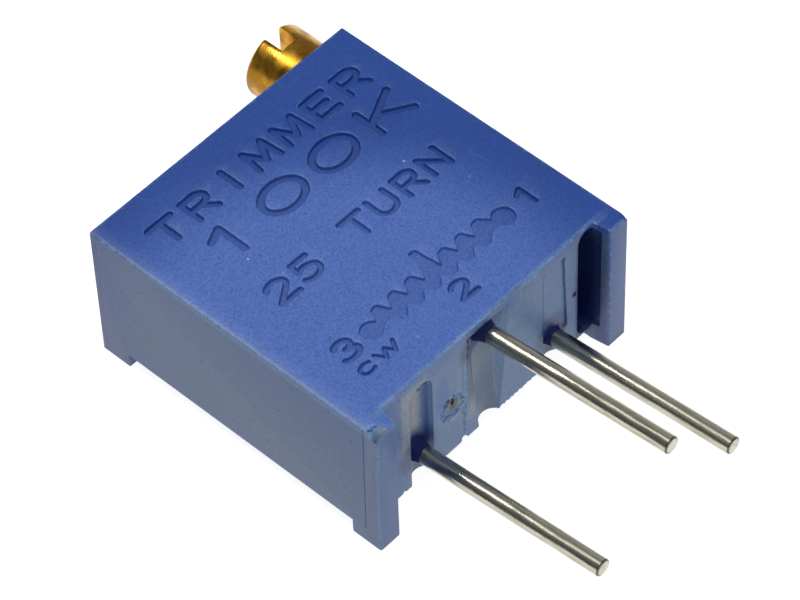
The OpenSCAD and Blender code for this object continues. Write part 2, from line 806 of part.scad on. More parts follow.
// Cranked terminal of the front row
module terminal_pin_2() {
    color([0.72, 0.71, 0.66])
    in_frame() {
        crank(pin_r, lean_start_y - bend_lap);
        leaning_end(0, front_row_z);
    }
}

housing();
potting();
adjustment_screw();
screw_o_ring();
screw_retainer();
worm_wheel();
wiper_contact();
ceramic_substrate();
resistive_track();
collector_ring();
track_pad_1();
track_pad_3();
solder_joint_1();
solder_joint_2();
solder_joint_3();
terminal_pin_1();
terminal_pin_2();
terminal_pin_3();
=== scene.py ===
"""Looks of a multi-turn trimmer potentiometer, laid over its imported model.

Lengths are in millimetres in the part's own frame: +X runs across the marked face, +Z up
through it, and the terminals point along -Y. Meshes are worked in millimetres and scaled to
metres when they are placed.
"""

import logging
import math
import sys
from dataclasses import dataclass
from enum import Enum
from typing import Callable, Iterable, Sequence

import bmesh
import bpy
from mathutils import Matrix, Vector, noise


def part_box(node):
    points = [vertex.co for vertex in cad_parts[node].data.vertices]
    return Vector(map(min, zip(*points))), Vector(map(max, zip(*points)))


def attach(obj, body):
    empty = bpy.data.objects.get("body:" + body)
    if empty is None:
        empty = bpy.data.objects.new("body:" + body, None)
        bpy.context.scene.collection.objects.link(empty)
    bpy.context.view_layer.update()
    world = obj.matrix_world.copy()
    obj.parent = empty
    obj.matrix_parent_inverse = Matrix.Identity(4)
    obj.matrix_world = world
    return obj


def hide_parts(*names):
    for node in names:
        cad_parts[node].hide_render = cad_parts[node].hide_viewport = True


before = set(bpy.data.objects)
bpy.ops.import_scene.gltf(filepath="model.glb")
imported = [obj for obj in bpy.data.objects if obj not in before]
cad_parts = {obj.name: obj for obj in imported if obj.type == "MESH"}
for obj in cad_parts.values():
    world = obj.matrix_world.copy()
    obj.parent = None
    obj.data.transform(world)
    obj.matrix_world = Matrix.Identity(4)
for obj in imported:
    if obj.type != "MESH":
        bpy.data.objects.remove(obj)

LOG = logging.getLogger("trimmer")
MM = 0.001
# The second attribute marks painted shade on the floors of the marks; the first holds edge wear, and on the
# marks' lips a paleness that is partly painted highlight.
WEAR_AND_HIGHLIGHT, RECESS_SHADE = "wear", "recess_shade"

Point = tuple[float, float]
Triple = tuple[float, float, float]
Colour = tuple[float, float, float]


class Body(Enum):
    """The moving groups that the dressed pieces ride on."""

    CASE = "case"
    SCREW = "screw"


class Slot(Enum):
    """The record's material slots, one named for each dressed piece."""

    BLUE_PLASTIC = "blue_plastic"
    BLUE_EPOXY = "blue_epoxy"
    BRASS = "brass"
    TINNED_WIRE = "tinned_wire"


def box_mm(node: str) -> tuple[Vector, Vector]:
    """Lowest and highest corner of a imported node.

    Args:
        node: the node's name.

    Returns:
        The two corners in millimetres.
    """
    low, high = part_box(node)
    return low / MM, high / MM


# ---------------------------------------------------------------- node trees


class Sheet:
    """Adds nodes to one tree and wires them up."""

    def __init__(self, tree: bpy.types.NodeTree) -> None:
        """Starts on an empty tree.

        Args:
            tree: the material's or the group's tree.
        """
        self.tree = tree

    def put(self, socket: bpy.types.NodeSocket, value: object) -> None:
        """Links a socket, or sets its own value.

        Args:
            socket: the input to fill.
            value: an output socket, a number, a vector or a colour.
        """
        if isinstance(value, bpy.types.NodeSocket):
            self.tree.links.new(value, socket)
        elif socket.type == "RGBA":
            socket.default_value = (*value, 1.0)
        else:
            socket.default_value = value

    def add(self, kind: str, settings: dict | None = None, **inputs: object) -> bpy.types.Node:
        """Adds a node.

        Args:
            kind: the node's type without its ShaderNode prefix.
            settings: properties to set on it.
            **inputs: values by input name, with _ for a space.

        Returns:
            The node.
        """
        made = self.tree.nodes.new("ShaderNode" + kind)
        for key, value in (settings or {}).items():
            setattr(made, key, value)
        for key, value in inputs.items():
            self.put(made.inputs[key.replace("_", " ")], value)
        return made

    def maths(self, operation: str, *values: object) -> bpy.types.NodeSocket:
        """One Math node.

        Args:
            operation: the operation's name.
            *values: its inputs in order.

        Returns:
            The result.
        """
        made = self.add("Math", {"operation": operation})
        for socket, value in zip(made.inputs, values):
            self.put(socket, value)
        return made.outputs[0]

    def vectors(self, operation: str, *values: object) -> bpy.types.NodeSocket:
        """One Vector Math node.

        Args:
            operation: the operation's name.
            *values: its vector inputs in order.

        Returns:
            The vector that it gives.
        """
        made = self.add("VectorMath", {"operation": operation})
        for socket, value in zip(made.inputs, values):
            self.put(socket, value)
        return made.outputs[0]

    def weighted(self, *terms: tuple[object, float]) -> bpy.types.NodeSocket:
        """Adds values up by their weights.

        Args:
            *terms: (value, weight) of each.

        Returns:
            The sum.
        """
        total, *rest = [self.maths("MULTIPLY", value, weight) for value, weight in terms]
        for part in rest:
            total = self.maths("ADD", total, part)
        return total

    def stored(self, name: str) -> bpy.types.NodeSocket:
        """The value that a mesh keeps on its faces under a name."""
        return self.add("Attribute", {"attribute_name": name}).outputs["Fac"]

    def blend(self, share: object, under: object, over: object) -> bpy.types.NodeSocket:
        """Mixes two colours.

        Args:
            share: how much of the second shows.
            under: the first colour.
            over: the second colour.

        Returns:
            The mixed colour.
        """
        made = self.add("Mix", {"data_type": "RGBA", "clamp_factor": True})
        self.put(made.inputs["Factor"], share)
        self.put(made.inputs[6], under)
        self.put(made.inputs[7], over)
        return made.outputs[2]

    def remap(self, value: object, low: float, high: float, to_low: float = 0.0,
              to_high: float = 1.0) -> bpy.types.NodeSocket:
        """Spreads a range smoothly onto another.

        Args:
            value: what is spread.
            low: where the range starts.
            high: where it ends.
            to_low: the value given at its start.
            to_high: the value given at its end.

        Returns:
            The spread value.
        """
        made = self.add("MapRange", {"interpolation_type": "SMOOTHSTEP"}, Value=value)
        for socket, number in zip(list(made.inputs)[1:5], (low, high, to_low, to_high)):
            self.put(socket, number)
        return made.outputs[0]

    def noise(self, where: object, scale: object, detail: float = 2.0,
              roughness: float = 0.5) -> bpy.types.NodeSocket:
        """Fractal noise.

        Args:
            where: the coordinates.
            scale: bumps a millimetre.
            detail: how many octaves.
            roughness: the weight of the finer ones.

        Returns:
            A value about a half.
        """
        made = self.add("TexNoise", Vector=where, Scale=scale, Detail=detail, Roughness=roughness)
        return made.outputs["Fac"]


VALUE, VECTOR = "NodeSocketFloat", "NodeSocketVector"
PLACE = ("Place", VECTOR, None)


def shared_group(name: str, inputs: Sequence[tuple[str, str, object]], outputs: Sequence[tuple[str, str]],
                 fill: Callable[[Sheet, dict], dict]) -> bpy.types.NodeTree:
    """Makes a node group once and finds it again afterwards.

    Args:
        name: the group's name.
        inputs: (name, socket type, default) of each input.
        outputs: (name, socket type) of each output.
        fill: builds the inside from the input sockets and gives the output values.

    Returns:
        The group.
    """
    found = bpy.data.node_groups.get(name)
    if found:
        return found
    tree = bpy.data.node_groups.new(name, "ShaderNodeTree")
    for label, kind, default in inputs:
        socket = tree.interface.new_socket(label, in_out="INPUT", socket_type=kind)
        if default is not None:
            socket.default_value = default
    for label, kind in outputs:
        tree.interface.new_socket(label, in_out="OUTPUT", socket_type=kind)
    sheet = Sheet(tree)
    entry = tree.nodes.new("NodeGroupInput")
    leave = tree.nodes.new("NodeGroupOutput")
    values = fill(sheet, {label: entry.outputs[label] for label, _, _ in inputs})
    for label, _ in outputs:
        sheet.put(leave.inputs[label], values[label])
    return tree


def place_group(sheet: Sheet, group: bpy.types.NodeTree, **inputs: object) -> bpy.types.Node:
    """Puts a shared group into a material.

    Args:
        sheet: the material's sheet.
        group: the group.
        **inputs: values by input name, with _ for a space.

    Returns:
        The group's node.
    """
    made = sheet.tree.nodes.new("ShaderNodeGroup")
    made.node_tree = group
    for key, value in inputs.items():
        sheet.put(made.inputs[key.replace("_", " ")], value)
    return made


def millimetres() -> bpy.types.NodeTree:
    """Group that gives the piece's own coordinates in millimetres.

    Returns:
        The group.
    """

    def fill(sheet: Sheet, given: dict) -> dict:
        """Scales the object coordinates.

        Args:
            sheet: the group's sheet.
            given: its input sockets by name, of which it has none.

        Returns:
            Its output values by name.
        """
        own = sheet.add("TexCoord").outputs["Object"]
        scale = 1.0 / MM
        return {"Place": sheet.vectors("MULTIPLY", own, (scale, scale, scale))}

    return shared_group("millimetre_place", [], [("Place", VECTOR)], fill)


def moulded_grain() -> bpy.types.NodeTree:
    """Group for the fine grain and the slow unevenness of a moulded skin.

    Returns:
        The group.
    """

    def fill(sheet: Sheet, given: dict) -> dict:
        """Adds three sizes of noise, of which the middle one is tied to the fine one.

        Args:
            sheet: the group's sheet.
            given: its input sockets by name.

        Returns:
            Its output values by name.
        """
        where = given["Place"]
        middle_scale, slow_scale = 0.46, 0.55
        fine = sheet.noise(where, given["Fine"], 3.0, 0.65)
        middle = sheet.noise(where, sheet.maths("MULTIPLY", given["Fine"], middle_scale), 2.0)
        slow = sheet.noise(where, slow_scale, 2.0, 0.4)
        tone = sheet.weighted((fine, 0.78), (middle, 0.22))
        height = sheet.weighted((tone, 0.25), (slow, 0.45), (middle, 0.20))
        return {"Tone": tone, "Cloud": slow, "Height": height}

    return shared_group("moulded_grain", [PLACE, ("Fine", VALUE, 11.0)],
                        [("Tone", VALUE), ("Cloud", VALUE), ("Height", VALUE)], fill)


def scattered_specks() -> bpy.types.NodeTree:
    """Group for sparse round specks of uneven size.

    Returns:
        The group.
    """

    def fill(sheet: Sheet, given: dict) -> dict:
        """Keeps the cores of a few random cells.

        Args:
            sheet: the group's sheet.
            given: its input sockets by name.

        Returns:
            Its output values by name.
        """
        cells = sheet.add("TexVoronoi", {"feature": "F1"}, Vector=given["Place"], Scale=given["Density"],
                          Randomness=1.0)
        limit = sheet.maths("SUBTRACT", 1.0, given["Share"])
        chosen = sheet.maths("GREATER_THAN", cells.outputs["Color"], limit)
        size = sheet.maths("MULTIPLY", given["Size"], given["Density"])
        core = sheet.maths("SUBTRACT", 1.0, sheet.maths("DIVIDE", cells.outputs["Distance"], size))
        full_at = 0.5
        return {"Mask": sheet.maths("MULTIPLY", sheet.remap(core, 0.0, full_at), chosen)}

    inputs = [PLACE, ("Density", VALUE, 2.0), ("Share", VALUE, 0.2), ("Size", VALUE, 0.03)]
    return shared_group("scattered_specks", inputs, [("Mask", VALUE)], fill)


def torn_patch() -> bpy.types.NodeTree:
    """Group for an area whose border is torn by a noise that is handed in.

    Returns:
        The group.
    """

    def fill(sheet: Sheet, given: dict) -> dict:
        """Fades a box and an oval out and lets the noise eat into both.

        Args:
            sheet: the group's sheet.
            given: its input sockets by name.

        Returns:
            Its output values by name.
        """
        hunger, fade_from, full_at = 3.0, 0.6, 0.7
        apart = sheet.vectors("SUBTRACT", given["Place"], given["Centre"])
        apart = sheet.vectors("DIVIDE", apart, given["Half"])
        split = sheet.add("SeparateXYZ", Vector=sheet.vectors("ABSOLUTE", apart)).outputs
        box = sheet.maths("MAXIMUM", sheet.maths("MAXIMUM", split[0], split[1]), split[2])
        long = sheet.add("VectorMath", {"operation": "LENGTH"})
        sheet.put(long.inputs[0], apart)
        bitten = sheet.maths("MULTIPLY", sheet.maths("SUBTRACT", given["Torn"], given["Bite"]), hunger)
        masks = {}
        for label, far in (("Box", box), ("Oval", long.outputs["Value"])):
            level = sheet.maths("ADD", sheet.maths("SUBTRACT", 1.0, far), bitten)
            inside = sheet.remap(far, fade_from, 1.0, 1.0, 0.0)
            masks[label] = sheet.maths("MULTIPLY", sheet.remap(level, 0.0, full_at), inside)
        return masks

    inputs = [PLACE, ("Centre", VECTOR, None), ("Half", VECTOR, (1.0, 1.0, 1.0)), ("Torn", VALUE, 0.5),
              ("Bite", VALUE, 0.5)]
    return shared_group("torn_patch", inputs, [("Box", VALUE), ("Oval", VALUE)], fill)


def hairline_scratches() -> bpy.types.NodeTree:
    """Group for a few fine scratches that run along the given stretch.

    Returns:
        The group.
    """

    def fill(sheet: Sheet, given: dict) -> dict:
        """Draws thin level lines of a stretched noise where another noise is high.

        Args:
            sheet: the group's sheet.
            given: its input sockets by name.

        Returns:
            Its output values by name.
        """
        middle, scratched_from, scratched_to = 0.5, 0.56, 0.66
        stretched = sheet.vectors("MULTIPLY", given["Place"], given["Stretch"])
        level = sheet.noise(stretched, 1.0, 1.0, 0.4)
        off = sheet.maths("ABSOLUTE", sheet.maths("SUBTRACT", level, middle))
        line = sheet.remap(off, 0.0, given["Width"], 1.0, 0.0)
        where = sheet.remap(sheet.noise(given["Place"], 0.9, 2.0), scratched_from, scratched_to)
        return {"Mask": sheet.maths("MULTIPLY", line, where)}

    inputs = [PLACE, ("Stretch", VECTOR, (1.0, 1.0, 1.0)), ("Width", VALUE, 0.004)]
    return shared_group("hairline_scratches", inputs, [("Mask", VALUE)], fill)


def worn_edges() -> bpy.types.NodeTree:
    """Group that breaks up the edge mask stored on a mesh.

    Returns:
        The group.
    """

    def fill(sheet: Sheet, given: dict) -> dict:
        """Multiplies the stored mask by noise.

        Args:
            sheet: the group's sheet.
            given: its input sockets by name.

        Returns:
            Its output values by name.
        """
        bare_at = 0.7
        stored = sheet.stored(WEAR_AND_HIGHLIGHT)
        broken = sheet.remap(sheet.noise(given["Place"], given["Tear"], 3.0, 0.6), given["From"], bare_at)
        return {"Mask": sheet.maths("MULTIPLY", stored, broken)}

    inputs = [PLACE, ("Tear", VALUE, 5.0), ("From", VALUE, 0.3)]
    return shared_group("worn_edges", inputs, [("Mask", VALUE)], fill)


def lathe_lines() -> bpy.types.NodeTree:
    """Group for tool lines round an axis along Y, with the odd deeper one.

    Returns:
        The group.
    """

    def fill(sheet: Sheet, given: dict) -> dict:
        """Reads noise along Y alone.

        Args:
            sheet: the group's sheet.
            given: its input sockets by name.

        Returns:
            Its output values by name.
        """
        wobble_depth = 0.06
        along = sheet.add("SeparateXYZ", Vector=given["Place"]).outputs["Y"]
        wobble = sheet.maths("MULTIPLY", sheet.noise(given["Place"], 1.2, 1.0), wobble_depth)
        line = sheet.add("CombineXYZ", Y=sheet.maths("ADD", along, wobble)).outputs[0]
        return {"Height": sheet.noise(line, given["Fine"], 4.0, 0.75)}

    return shared_group("lathe_lines", [PLACE, ("Fine", VALUE, 16.0)], [("Height", VALUE)], fill)


# ---------------------------------------------------------------- finishes


def new_material(name: str) -> tuple[bpy.types.Material, Sheet, bpy.types.Node, bpy.types.NodeSocket]:
    """An empty node material with its shader and place in millimetres.

    Args:
        name: the material's name.

    Returns:
        The material, its sheet, its Principled BSDF and its place socket.
    """
    material = bpy.data.materials.new(name)
    material.use_nodes = True
    tree = material.node_tree
    tree.nodes.clear()
    sheet = Sheet(tree)
    output = sheet.add("OutputMaterial")
    shader = sheet.add("BsdfPrincipled")
    tree.links.new(shader.outputs[0], output.inputs["Surface"])
    place = place_group(sheet, millimetres()).outputs["Place"]
    return material, sheet, shader, place


def bump(sheet: Sheet, shader: bpy.types.Node, height: object, depth: float) -> None:
    """Feeds a height to the shader's normal.

    Args:
        sheet: the material's sheet.
        shader: the Principled BSDF.
        height: the height, from 0 to 1.
        depth: how deep that is in millimetres.
    """
    made = sheet.add("Bump", Strength=1.0, Distance=depth * MM, Height=height)
    sheet.put(shader.inputs["Normal"], made.outputs["Normal"])


class Tone(Enum):
    """What rubbing, dirt and bare resin show on the case, and the painted light and shade laid on it."""

    # Painted light on the marked face and painted shade along the bottom of the near side; a brighter blue
    # elsewhere.
    BRIGHT_BLUE_AND_PAINTED_LIGHT = (0.100, 0.215, 0.680)
    # Painted reflection and light: paler walls, front faces and channel floors.
    PAINTED_PALE_LIGHT = (0.210, 0.370, 0.640)
    # Painted reflection: the sides greyed as if they mirrored the white floor.
    PAINTED_GREY_REFLECTION = (0.330, 0.500, 0.460)
    # Worn pale blue, also used for painted highlights.
    WORN_AND_PAINTED_LIGHT = (0.235, 0.440, 0.760)
    # Dust, also used for painted light in the channels.
    DUST_AND_PAINTED_LIGHT = (0.640, 0.640, 0.580)
    # Dark resin and dirt, also used for painted shade.
    NAVY = (0.004, 0.012, 0.120)
    # Dark specks and dirt, also used for painted shade in the pocket.
    SOOT_AND_PAINTED_SHADE = (0.003, 0.003, 0.006)
    OCHRE = (0.150, 0.095, 0.020)
    # Greenish tone, also used for painted shade in the knocked corner.
    OLIVE = (0.090, 0.160, 0.170)


TEAR_SCALE = 5.0


@dataclass(frozen=True)
class Patch:
    """An area of another tone: its middle, half size and share, and how much of it is torn away."""

    tone: Tone
    centre: Triple
    half: Triple
    share: float = 0.8
    bite: float = 0.5
    oval: bool = True


def lay_patches(sheet: Sheet, place: bpy.types.NodeSocket, colour: bpy.types.NodeSocket,
                patches: Sequence[Patch]) -> bpy.types.NodeSocket:
    """Lays patches over a colour.

    Args:
        sheet: the material's sheet.
        place: its place in millimetres.
        colour: the colour under the patches.
        patches: the patches, the lowest first.

    Returns:
        The colour with its patches.
    """
    torn = sheet.noise(place, TEAR_SCALE, 5.0, 0.72)
    for patch in patches:
        mask = place_group(sheet, torn_patch(), Place=place, Centre=patch.centre, Half=patch.half, Torn=torn,
                           Bite=patch.bite).outputs["Oval" if patch.oval else "Box"]
        colour = sheet.blend(sheet.maths("MULTIPLY", mask, patch.share), colour, patch.tone.value)
    return colour


@dataclass(frozen=True)
class MouldedBlue:
    """Glass-filled blue thermoset with a dull skin, pale where it is worn, with painted shade on the floors
    of its marks.
    """

    colour: Colour = (0.012, 0.082, 0.420)
    deep: Colour = (0.004, 0.034, 0.220)
    ior: float = 1.62
    gloss: Point = (0.36, 0.50)
    grain: float = 26.0
    grain_share: float = 0.50
    cloud_share: float = 0.12
    recess_shade_share: float = 0.40
    rub_share: float = 0.75
    rub_dulls: float = 0.12
    rub_lifts: float = 0.10
    scratch_share: float = 0.22
    scratch_stretch: Triple = (0.5, 0.9, 0.7)
    scratch_width: float = 0.003
    pale_share: float = 0.40
    dark_share: float = 0.55
    dark_shift: Triple = (3.7, 1.9, 5.3)
    depth: float = 0.024

    def build(self, name: str, patches: Sequence[Patch] = ()) -> bpy.types.Material:
        """Makes the material.

        Args:
            name: its name.
            patches: where it is worn, dirty or stained.

        Returns:
            The material.
        """
        material, sheet, shader, place = new_material(name)
        grain = place_group(sheet, moulded_grain(), Place=place, Fine=self.grain)
        tone, cloud = grain.outputs["Tone"], grain.outputs["Cloud"]
        colour = sheet.blend(sheet.remap(cloud, 0.35, 0.65, 0.0, self.cloud_share), self.colour, self.deep)
        colour = lay_patches(sheet, place, colour, patches)
        colour = sheet.blend(sheet.remap(tone, 0.34, 0.62, self.grain_share, 0.0), colour, self.deep)
        # Painted shade: the floors of the marks darkened.
        sunk = sheet.maths("MULTIPLY", sheet.stored(RECESS_SHADE), self.recess_shade_share)
        colour = sheet.blend(sunk, colour, self.deep)
        rub = place_group(sheet, worn_edges(), Place=place, Tear=4.0, From=0.42).outputs["Mask"]
        lines = place_group(sheet, hairline_scratches(), Place=place, Stretch=self.scratch_stretch,
                            Width=self.scratch_width).outputs["Mask"]
        rub = sheet.maths("MAXIMUM", rub, sheet.maths("MULTIPLY", lines, self.scratch_share))
        # Pale rubbed edges and scratches; on the marks' lips this paleness is partly painted highlight.
        colour = sheet.blend(sheet.maths("MULTIPLY", rub, self.rub_share), colour, Tone.WORN_AND_PAINTED_LIGHT.value)
        pale = place_group(sheet, scattered_specks(), Place=place, Density=2.2, Share=0.16, Size=0.035)
        pale_mask = sheet.maths("MULTIPLY", pale.outputs["Mask"], self.pale_share)
        colour = sheet.blend(pale_mask, colour, Tone.DUST_AND_PAINTED_LIGHT.value)
        moved = sheet.vectors("ADD", place, self.dark_shift)
        dark = place_group(sheet, scattered_specks(), Place=moved, Density=1.6, Share=0.22, Size=0.045)
        dark_mask = sheet.maths("MULTIPLY", dark.outputs["Mask"], self.dark_share)
        colour = sheet.blend(dark_mask, colour, Tone.SOOT_AND_PAINTED_SHADE.value)
        sheet.put(shader.inputs["Base Color"], colour)
        rough = sheet.remap(tone, 0.3, 0.7, *self.gloss)
        rough = sheet.maths("ADD", rough, sheet.maths("MULTIPLY", rub, self.rub_dulls))
        sheet.put(shader.inputs["Roughness"], rough)
        shader.inputs["IOR"].default_value = self.ior
        height = sheet.maths("ADD", grain.outputs["Height"], sheet.maths("MULTIPLY", rub, self.rub_lifts))
        bump(sheet, shader, height, self.depth)
        return material


@dataclass(frozen=True)
class CastEpoxy:
    """Poured blue compound: glossy with small bubbles at the back, dulled by wiping at the terminals, where
    its front colour is partly painted light and shade.
    """

    colour: Colour = (0.010, 0.024, 0.130)
    thin: Colour = (0.028, 0.066, 0.260)
    # Front colour, partly painted: paler to lighten the shade of the channels on the potting, navy for the
    # painted shade round the roots on the seals.
    front_colour_and_light: Colour = (0.230, 0.310, 0.450)
    skin_y: float = -2.10
    skin_half: float = 0.1
    ior: float = 1.46
    roughness: float = 0.16
    uneven: float = 0.14
    wiped_dulls: float = 0.24
    bubble_share: float = 0.5
    bubble_sinks: float = 0.4
    depth: float = 0.05

    def build(self, name: str, patches: Sequence[Patch] = ()) -> bpy.types.Material:
        """Makes the material.

        Args:
            name: its name.
            patches: where it is stained.

        Returns:
            The material.
        """
        material, sheet, shader, place = new_material(name)
        cloud = sheet.noise(place, 0.9, 3.0)
        bubbles = place_group(sheet, scattered_specks(), Place=place, Density=2.4, Share=0.3,
                              Size=0.09).outputs["Mask"]
        along = sheet.add("SeparateXYZ", Vector=place).outputs["Y"]
        skin = sheet.remap(along, self.skin_y - self.skin_half, self.skin_y + self.skin_half, 1.0, 0.0)
        pool = sheet.blend(sheet.remap(cloud, 0.35, 0.7), self.colour, self.thin)
        pool = sheet.blend(sheet.maths("MULTIPLY", bubbles, self.bubble_share), pool, self.thin)
        colour = lay_patches(sheet, place, sheet.blend(skin, pool, self.front_colour_and_light), patches)
        sheet.put(shader.inputs["Base Color"], colour)
        gloss = sheet.remap(cloud, 0.3, 0.7, self.roughness, self.roughness + self.uneven)
        gloss = sheet.maths("ADD", gloss, sheet.maths("MULTIPLY", skin, self.wiped_dulls))
        sheet.put(shader.inputs["Roughness"], gloss)
        shader.inputs["IOR"].default_value = self.ior
        sunk = sheet.maths("MULTIPLY", bubbles, self.bubble_sinks)
        bump(sheet, shader, sheet.maths("SUBTRACT", sheet.noise(place, 1.6, 2.0), sunk), self.depth)
        return material


@dataclass(frozen=True)
class TurnedBrass:
    """Brass from the lathe, a little tarnished."""

    colour: Colour = (0.640, 0.340, 0.036)
    tarnish: Colour = (0.120, 0.036, 0.006)
    roughness: float = 0.20
    uneven: float = 0.16
    tool_lines: float = 9.0
    stain_share: float = 0.6
    line_share: float = 0.3
    depth: float = 0.010

    def build(self, name: str) -> bpy.types.Material:
        """Makes the material.

        Args:
            name: its name.

        Returns:
            The material.
        """
        material, sheet, shader, place = new_material(name)
        lines = place_group(sheet, lathe_lines(), Place=place, Fine=self.tool_lines).outputs["Height"]
        stain = sheet.remap(sheet.noise(place, 1.3, 3.0, 0.6), 0.42, 0.62)
        colour = sheet.blend(sheet.maths("MULTIPLY", stain, self.stain_share), self.colour, self.tarnish)
        colour = sheet.blend(sheet.remap(lines, 0.62, 0.75, 0.0, self.line_share), colour, self.tarnish)
        sheet.put(shader.inputs["Base Color"], colour)
        shader.inputs["Metallic"].default_value = 1.0
        cloud = sheet.noise(place, 3.0, 3.0)
        rough = sheet.remap(cloud, 0.3, 0.7, self.roughness, self.roughness + self.uneven)
        sheet.put(shader.inputs["Roughness"], rough)
        bump(sheet, shader, lines, self.depth)
        return material


@dataclass(frozen=True)
class TinnedWire:
    """Solder-dipped wire: bright, wavy and pitted, drawn along Y."""

    colour: Colour = (0.560, 0.535, 0.440)
    dull: Colour = (0.270, 0.255, 0.190)
    burr: Colour = (0.090, 0.075, 0.050)
    roughness: float = 0.19
    uneven: float = 0.14
    drawn: Triple = (1.0, 0.22, 1.0)
    streak_share: float = 0.55
    pit_share: float = 0.5
    burr_share: float = 0.85
    depth: float = 0.045

    def build(self, name: str) -> bpy.types.Material:
        """Makes the material.

        Args:
            name: its name.

        Returns:
            The material.
        """
        material, sheet, shader, place = new_material(name)
        drawn = sheet.vectors("MULTIPLY", place, self.drawn)
        streak = sheet.noise(drawn, 5.0, 3.0, 0.6)
        lump = sheet.noise(drawn, 1.6, 2.0, 0.5)
        pits = place_group(sheet, scattered_specks(), Place=place, Density=3.0, Share=0.22,
                           Size=0.05).outputs["Mask"]
        colour = sheet.blend(sheet.remap(streak, 0.42, 0.72, 0.0, self.streak_share), self.colour, self.dull)
        colour = sheet.blend(sheet.maths("MULTIPLY", pits, self.pit_share), colour, self.dull)
        colour = sheet.blend(sheet.maths("MULTIPLY", sheet.stored(WEAR_AND_HIGHLIGHT), self.burr_share), colour, self.burr)
        sheet.put(shader.inputs["Base Color"], colour)
        shader.inputs["Metallic"].default_value = 1.0
        rough = sheet.remap(streak, 0.3, 0.7, self.roughness, self.roughness + self.uneven)
        sheet.put(shader.inputs["Roughness"], rough)
        bump(sheet, shader, sheet.weighted((lump, 0.7), (streak, 0.16), (pits, -0.12)), self.depth)
        return material


@dataclass(frozen=True)
class PlainSolid:
    """A dull or bright solid with grain, such as rubber, ceramic or a fired film."""

    colour: Colour
    shade: Colour
    roughness: float = 0.5
    metal: float = 0.0
    grain: float = 9.0
    depth: float = 0.01
    smoother: float = 0.06
    rougher: float = 0.1

    def build(self, name: str) -> bpy.types.Material:
        """Makes the material.

        Args:
            name: its name.

        Returns:
            The material.
        """
        material, sheet, shader, place = new_material(name)
        grain = place_group(sheet, moulded_grain(), Place=place, Fine=self.grain)
        colour = sheet.blend(sheet.remap(grain.outputs["Tone"], 0.35, 0.68), self.colour, self.shade)
        sheet.put(shader.inputs["Base Color"], colour)
        shader.inputs["Metallic"].default_value = self.metal
        low, high = self.roughness - self.smoother, self.roughness + self.rougher
        sheet.put(shader.inputs["Roughness"], sheet.remap(grain.outputs["Cloud"], 0.3, 0.7, low, high))
        bump(sheet, shader, grain.outputs["Height"], self.depth)
        return material


# ---------------------------------------------------------------- mesh work


def face_layer(mesh: bmesh.types.BMesh, name: str) -> bmesh.types.BMLayerItem:
    """The float layer of that name on the faces, made when it isn't there."""
    return mesh.faces.layers.float.get(name) or mesh.faces.layers.float.new(name)


def loft(rings: Sequence[Sequence[Vector]]) -> bmesh.types.BMesh:
    """A closed solid through rings of as many points each, with flat ends.

    Args:
        rings: the rings, from one end to the other.

    Returns:
        The mesh, its faces turned outwards.
    """
    mesh = bmesh.new()
    made = [[mesh.verts.new(point) for point in ring] for ring in rings]
    count = len(made[0])
    for lower, upper in zip(made, made[1:]):
        for n in range(count):
            m = (n + 1) % count
            mesh.faces.new((lower[n], lower[m], upper[m], upper[n]))
    mesh.faces.new(made[0])
    mesh.faces.new(made[-1])
    bmesh.ops.recalc_face_normals(mesh, faces=mesh.faces)
    return mesh


def rough_ball(centre: Sequence[float], radii: Sequence[float], rough: float = 0.25, seed: float = 0.0,
               bumps: float = 1.6) -> bmesh.types.BMesh:
    """A lump, or the cutter of a nick: an oval torn out of round by noise.

    Args:
        centre: its middle.
        radii: its three radii.
        rough: how far the noise pushes, as a share of the radius.
        seed: where the noise is read.
        bumps: how many bumps it has a radius.

    Returns:
        The closed mesh.
    """
    mesh = bmesh.new()
    bmesh.ops.create_icosphere(mesh, subdivisions=3, radius=1.0)
    for vert in mesh.verts:
        push = 1.0 + rough * noise.noise(vert.co * bumps + Vector((seed, 2.3 * seed, -seed)))
        vert.co = Vector(centre) + Vector([c * r * push for c, r in zip(vert.co, radii)])
    return mesh


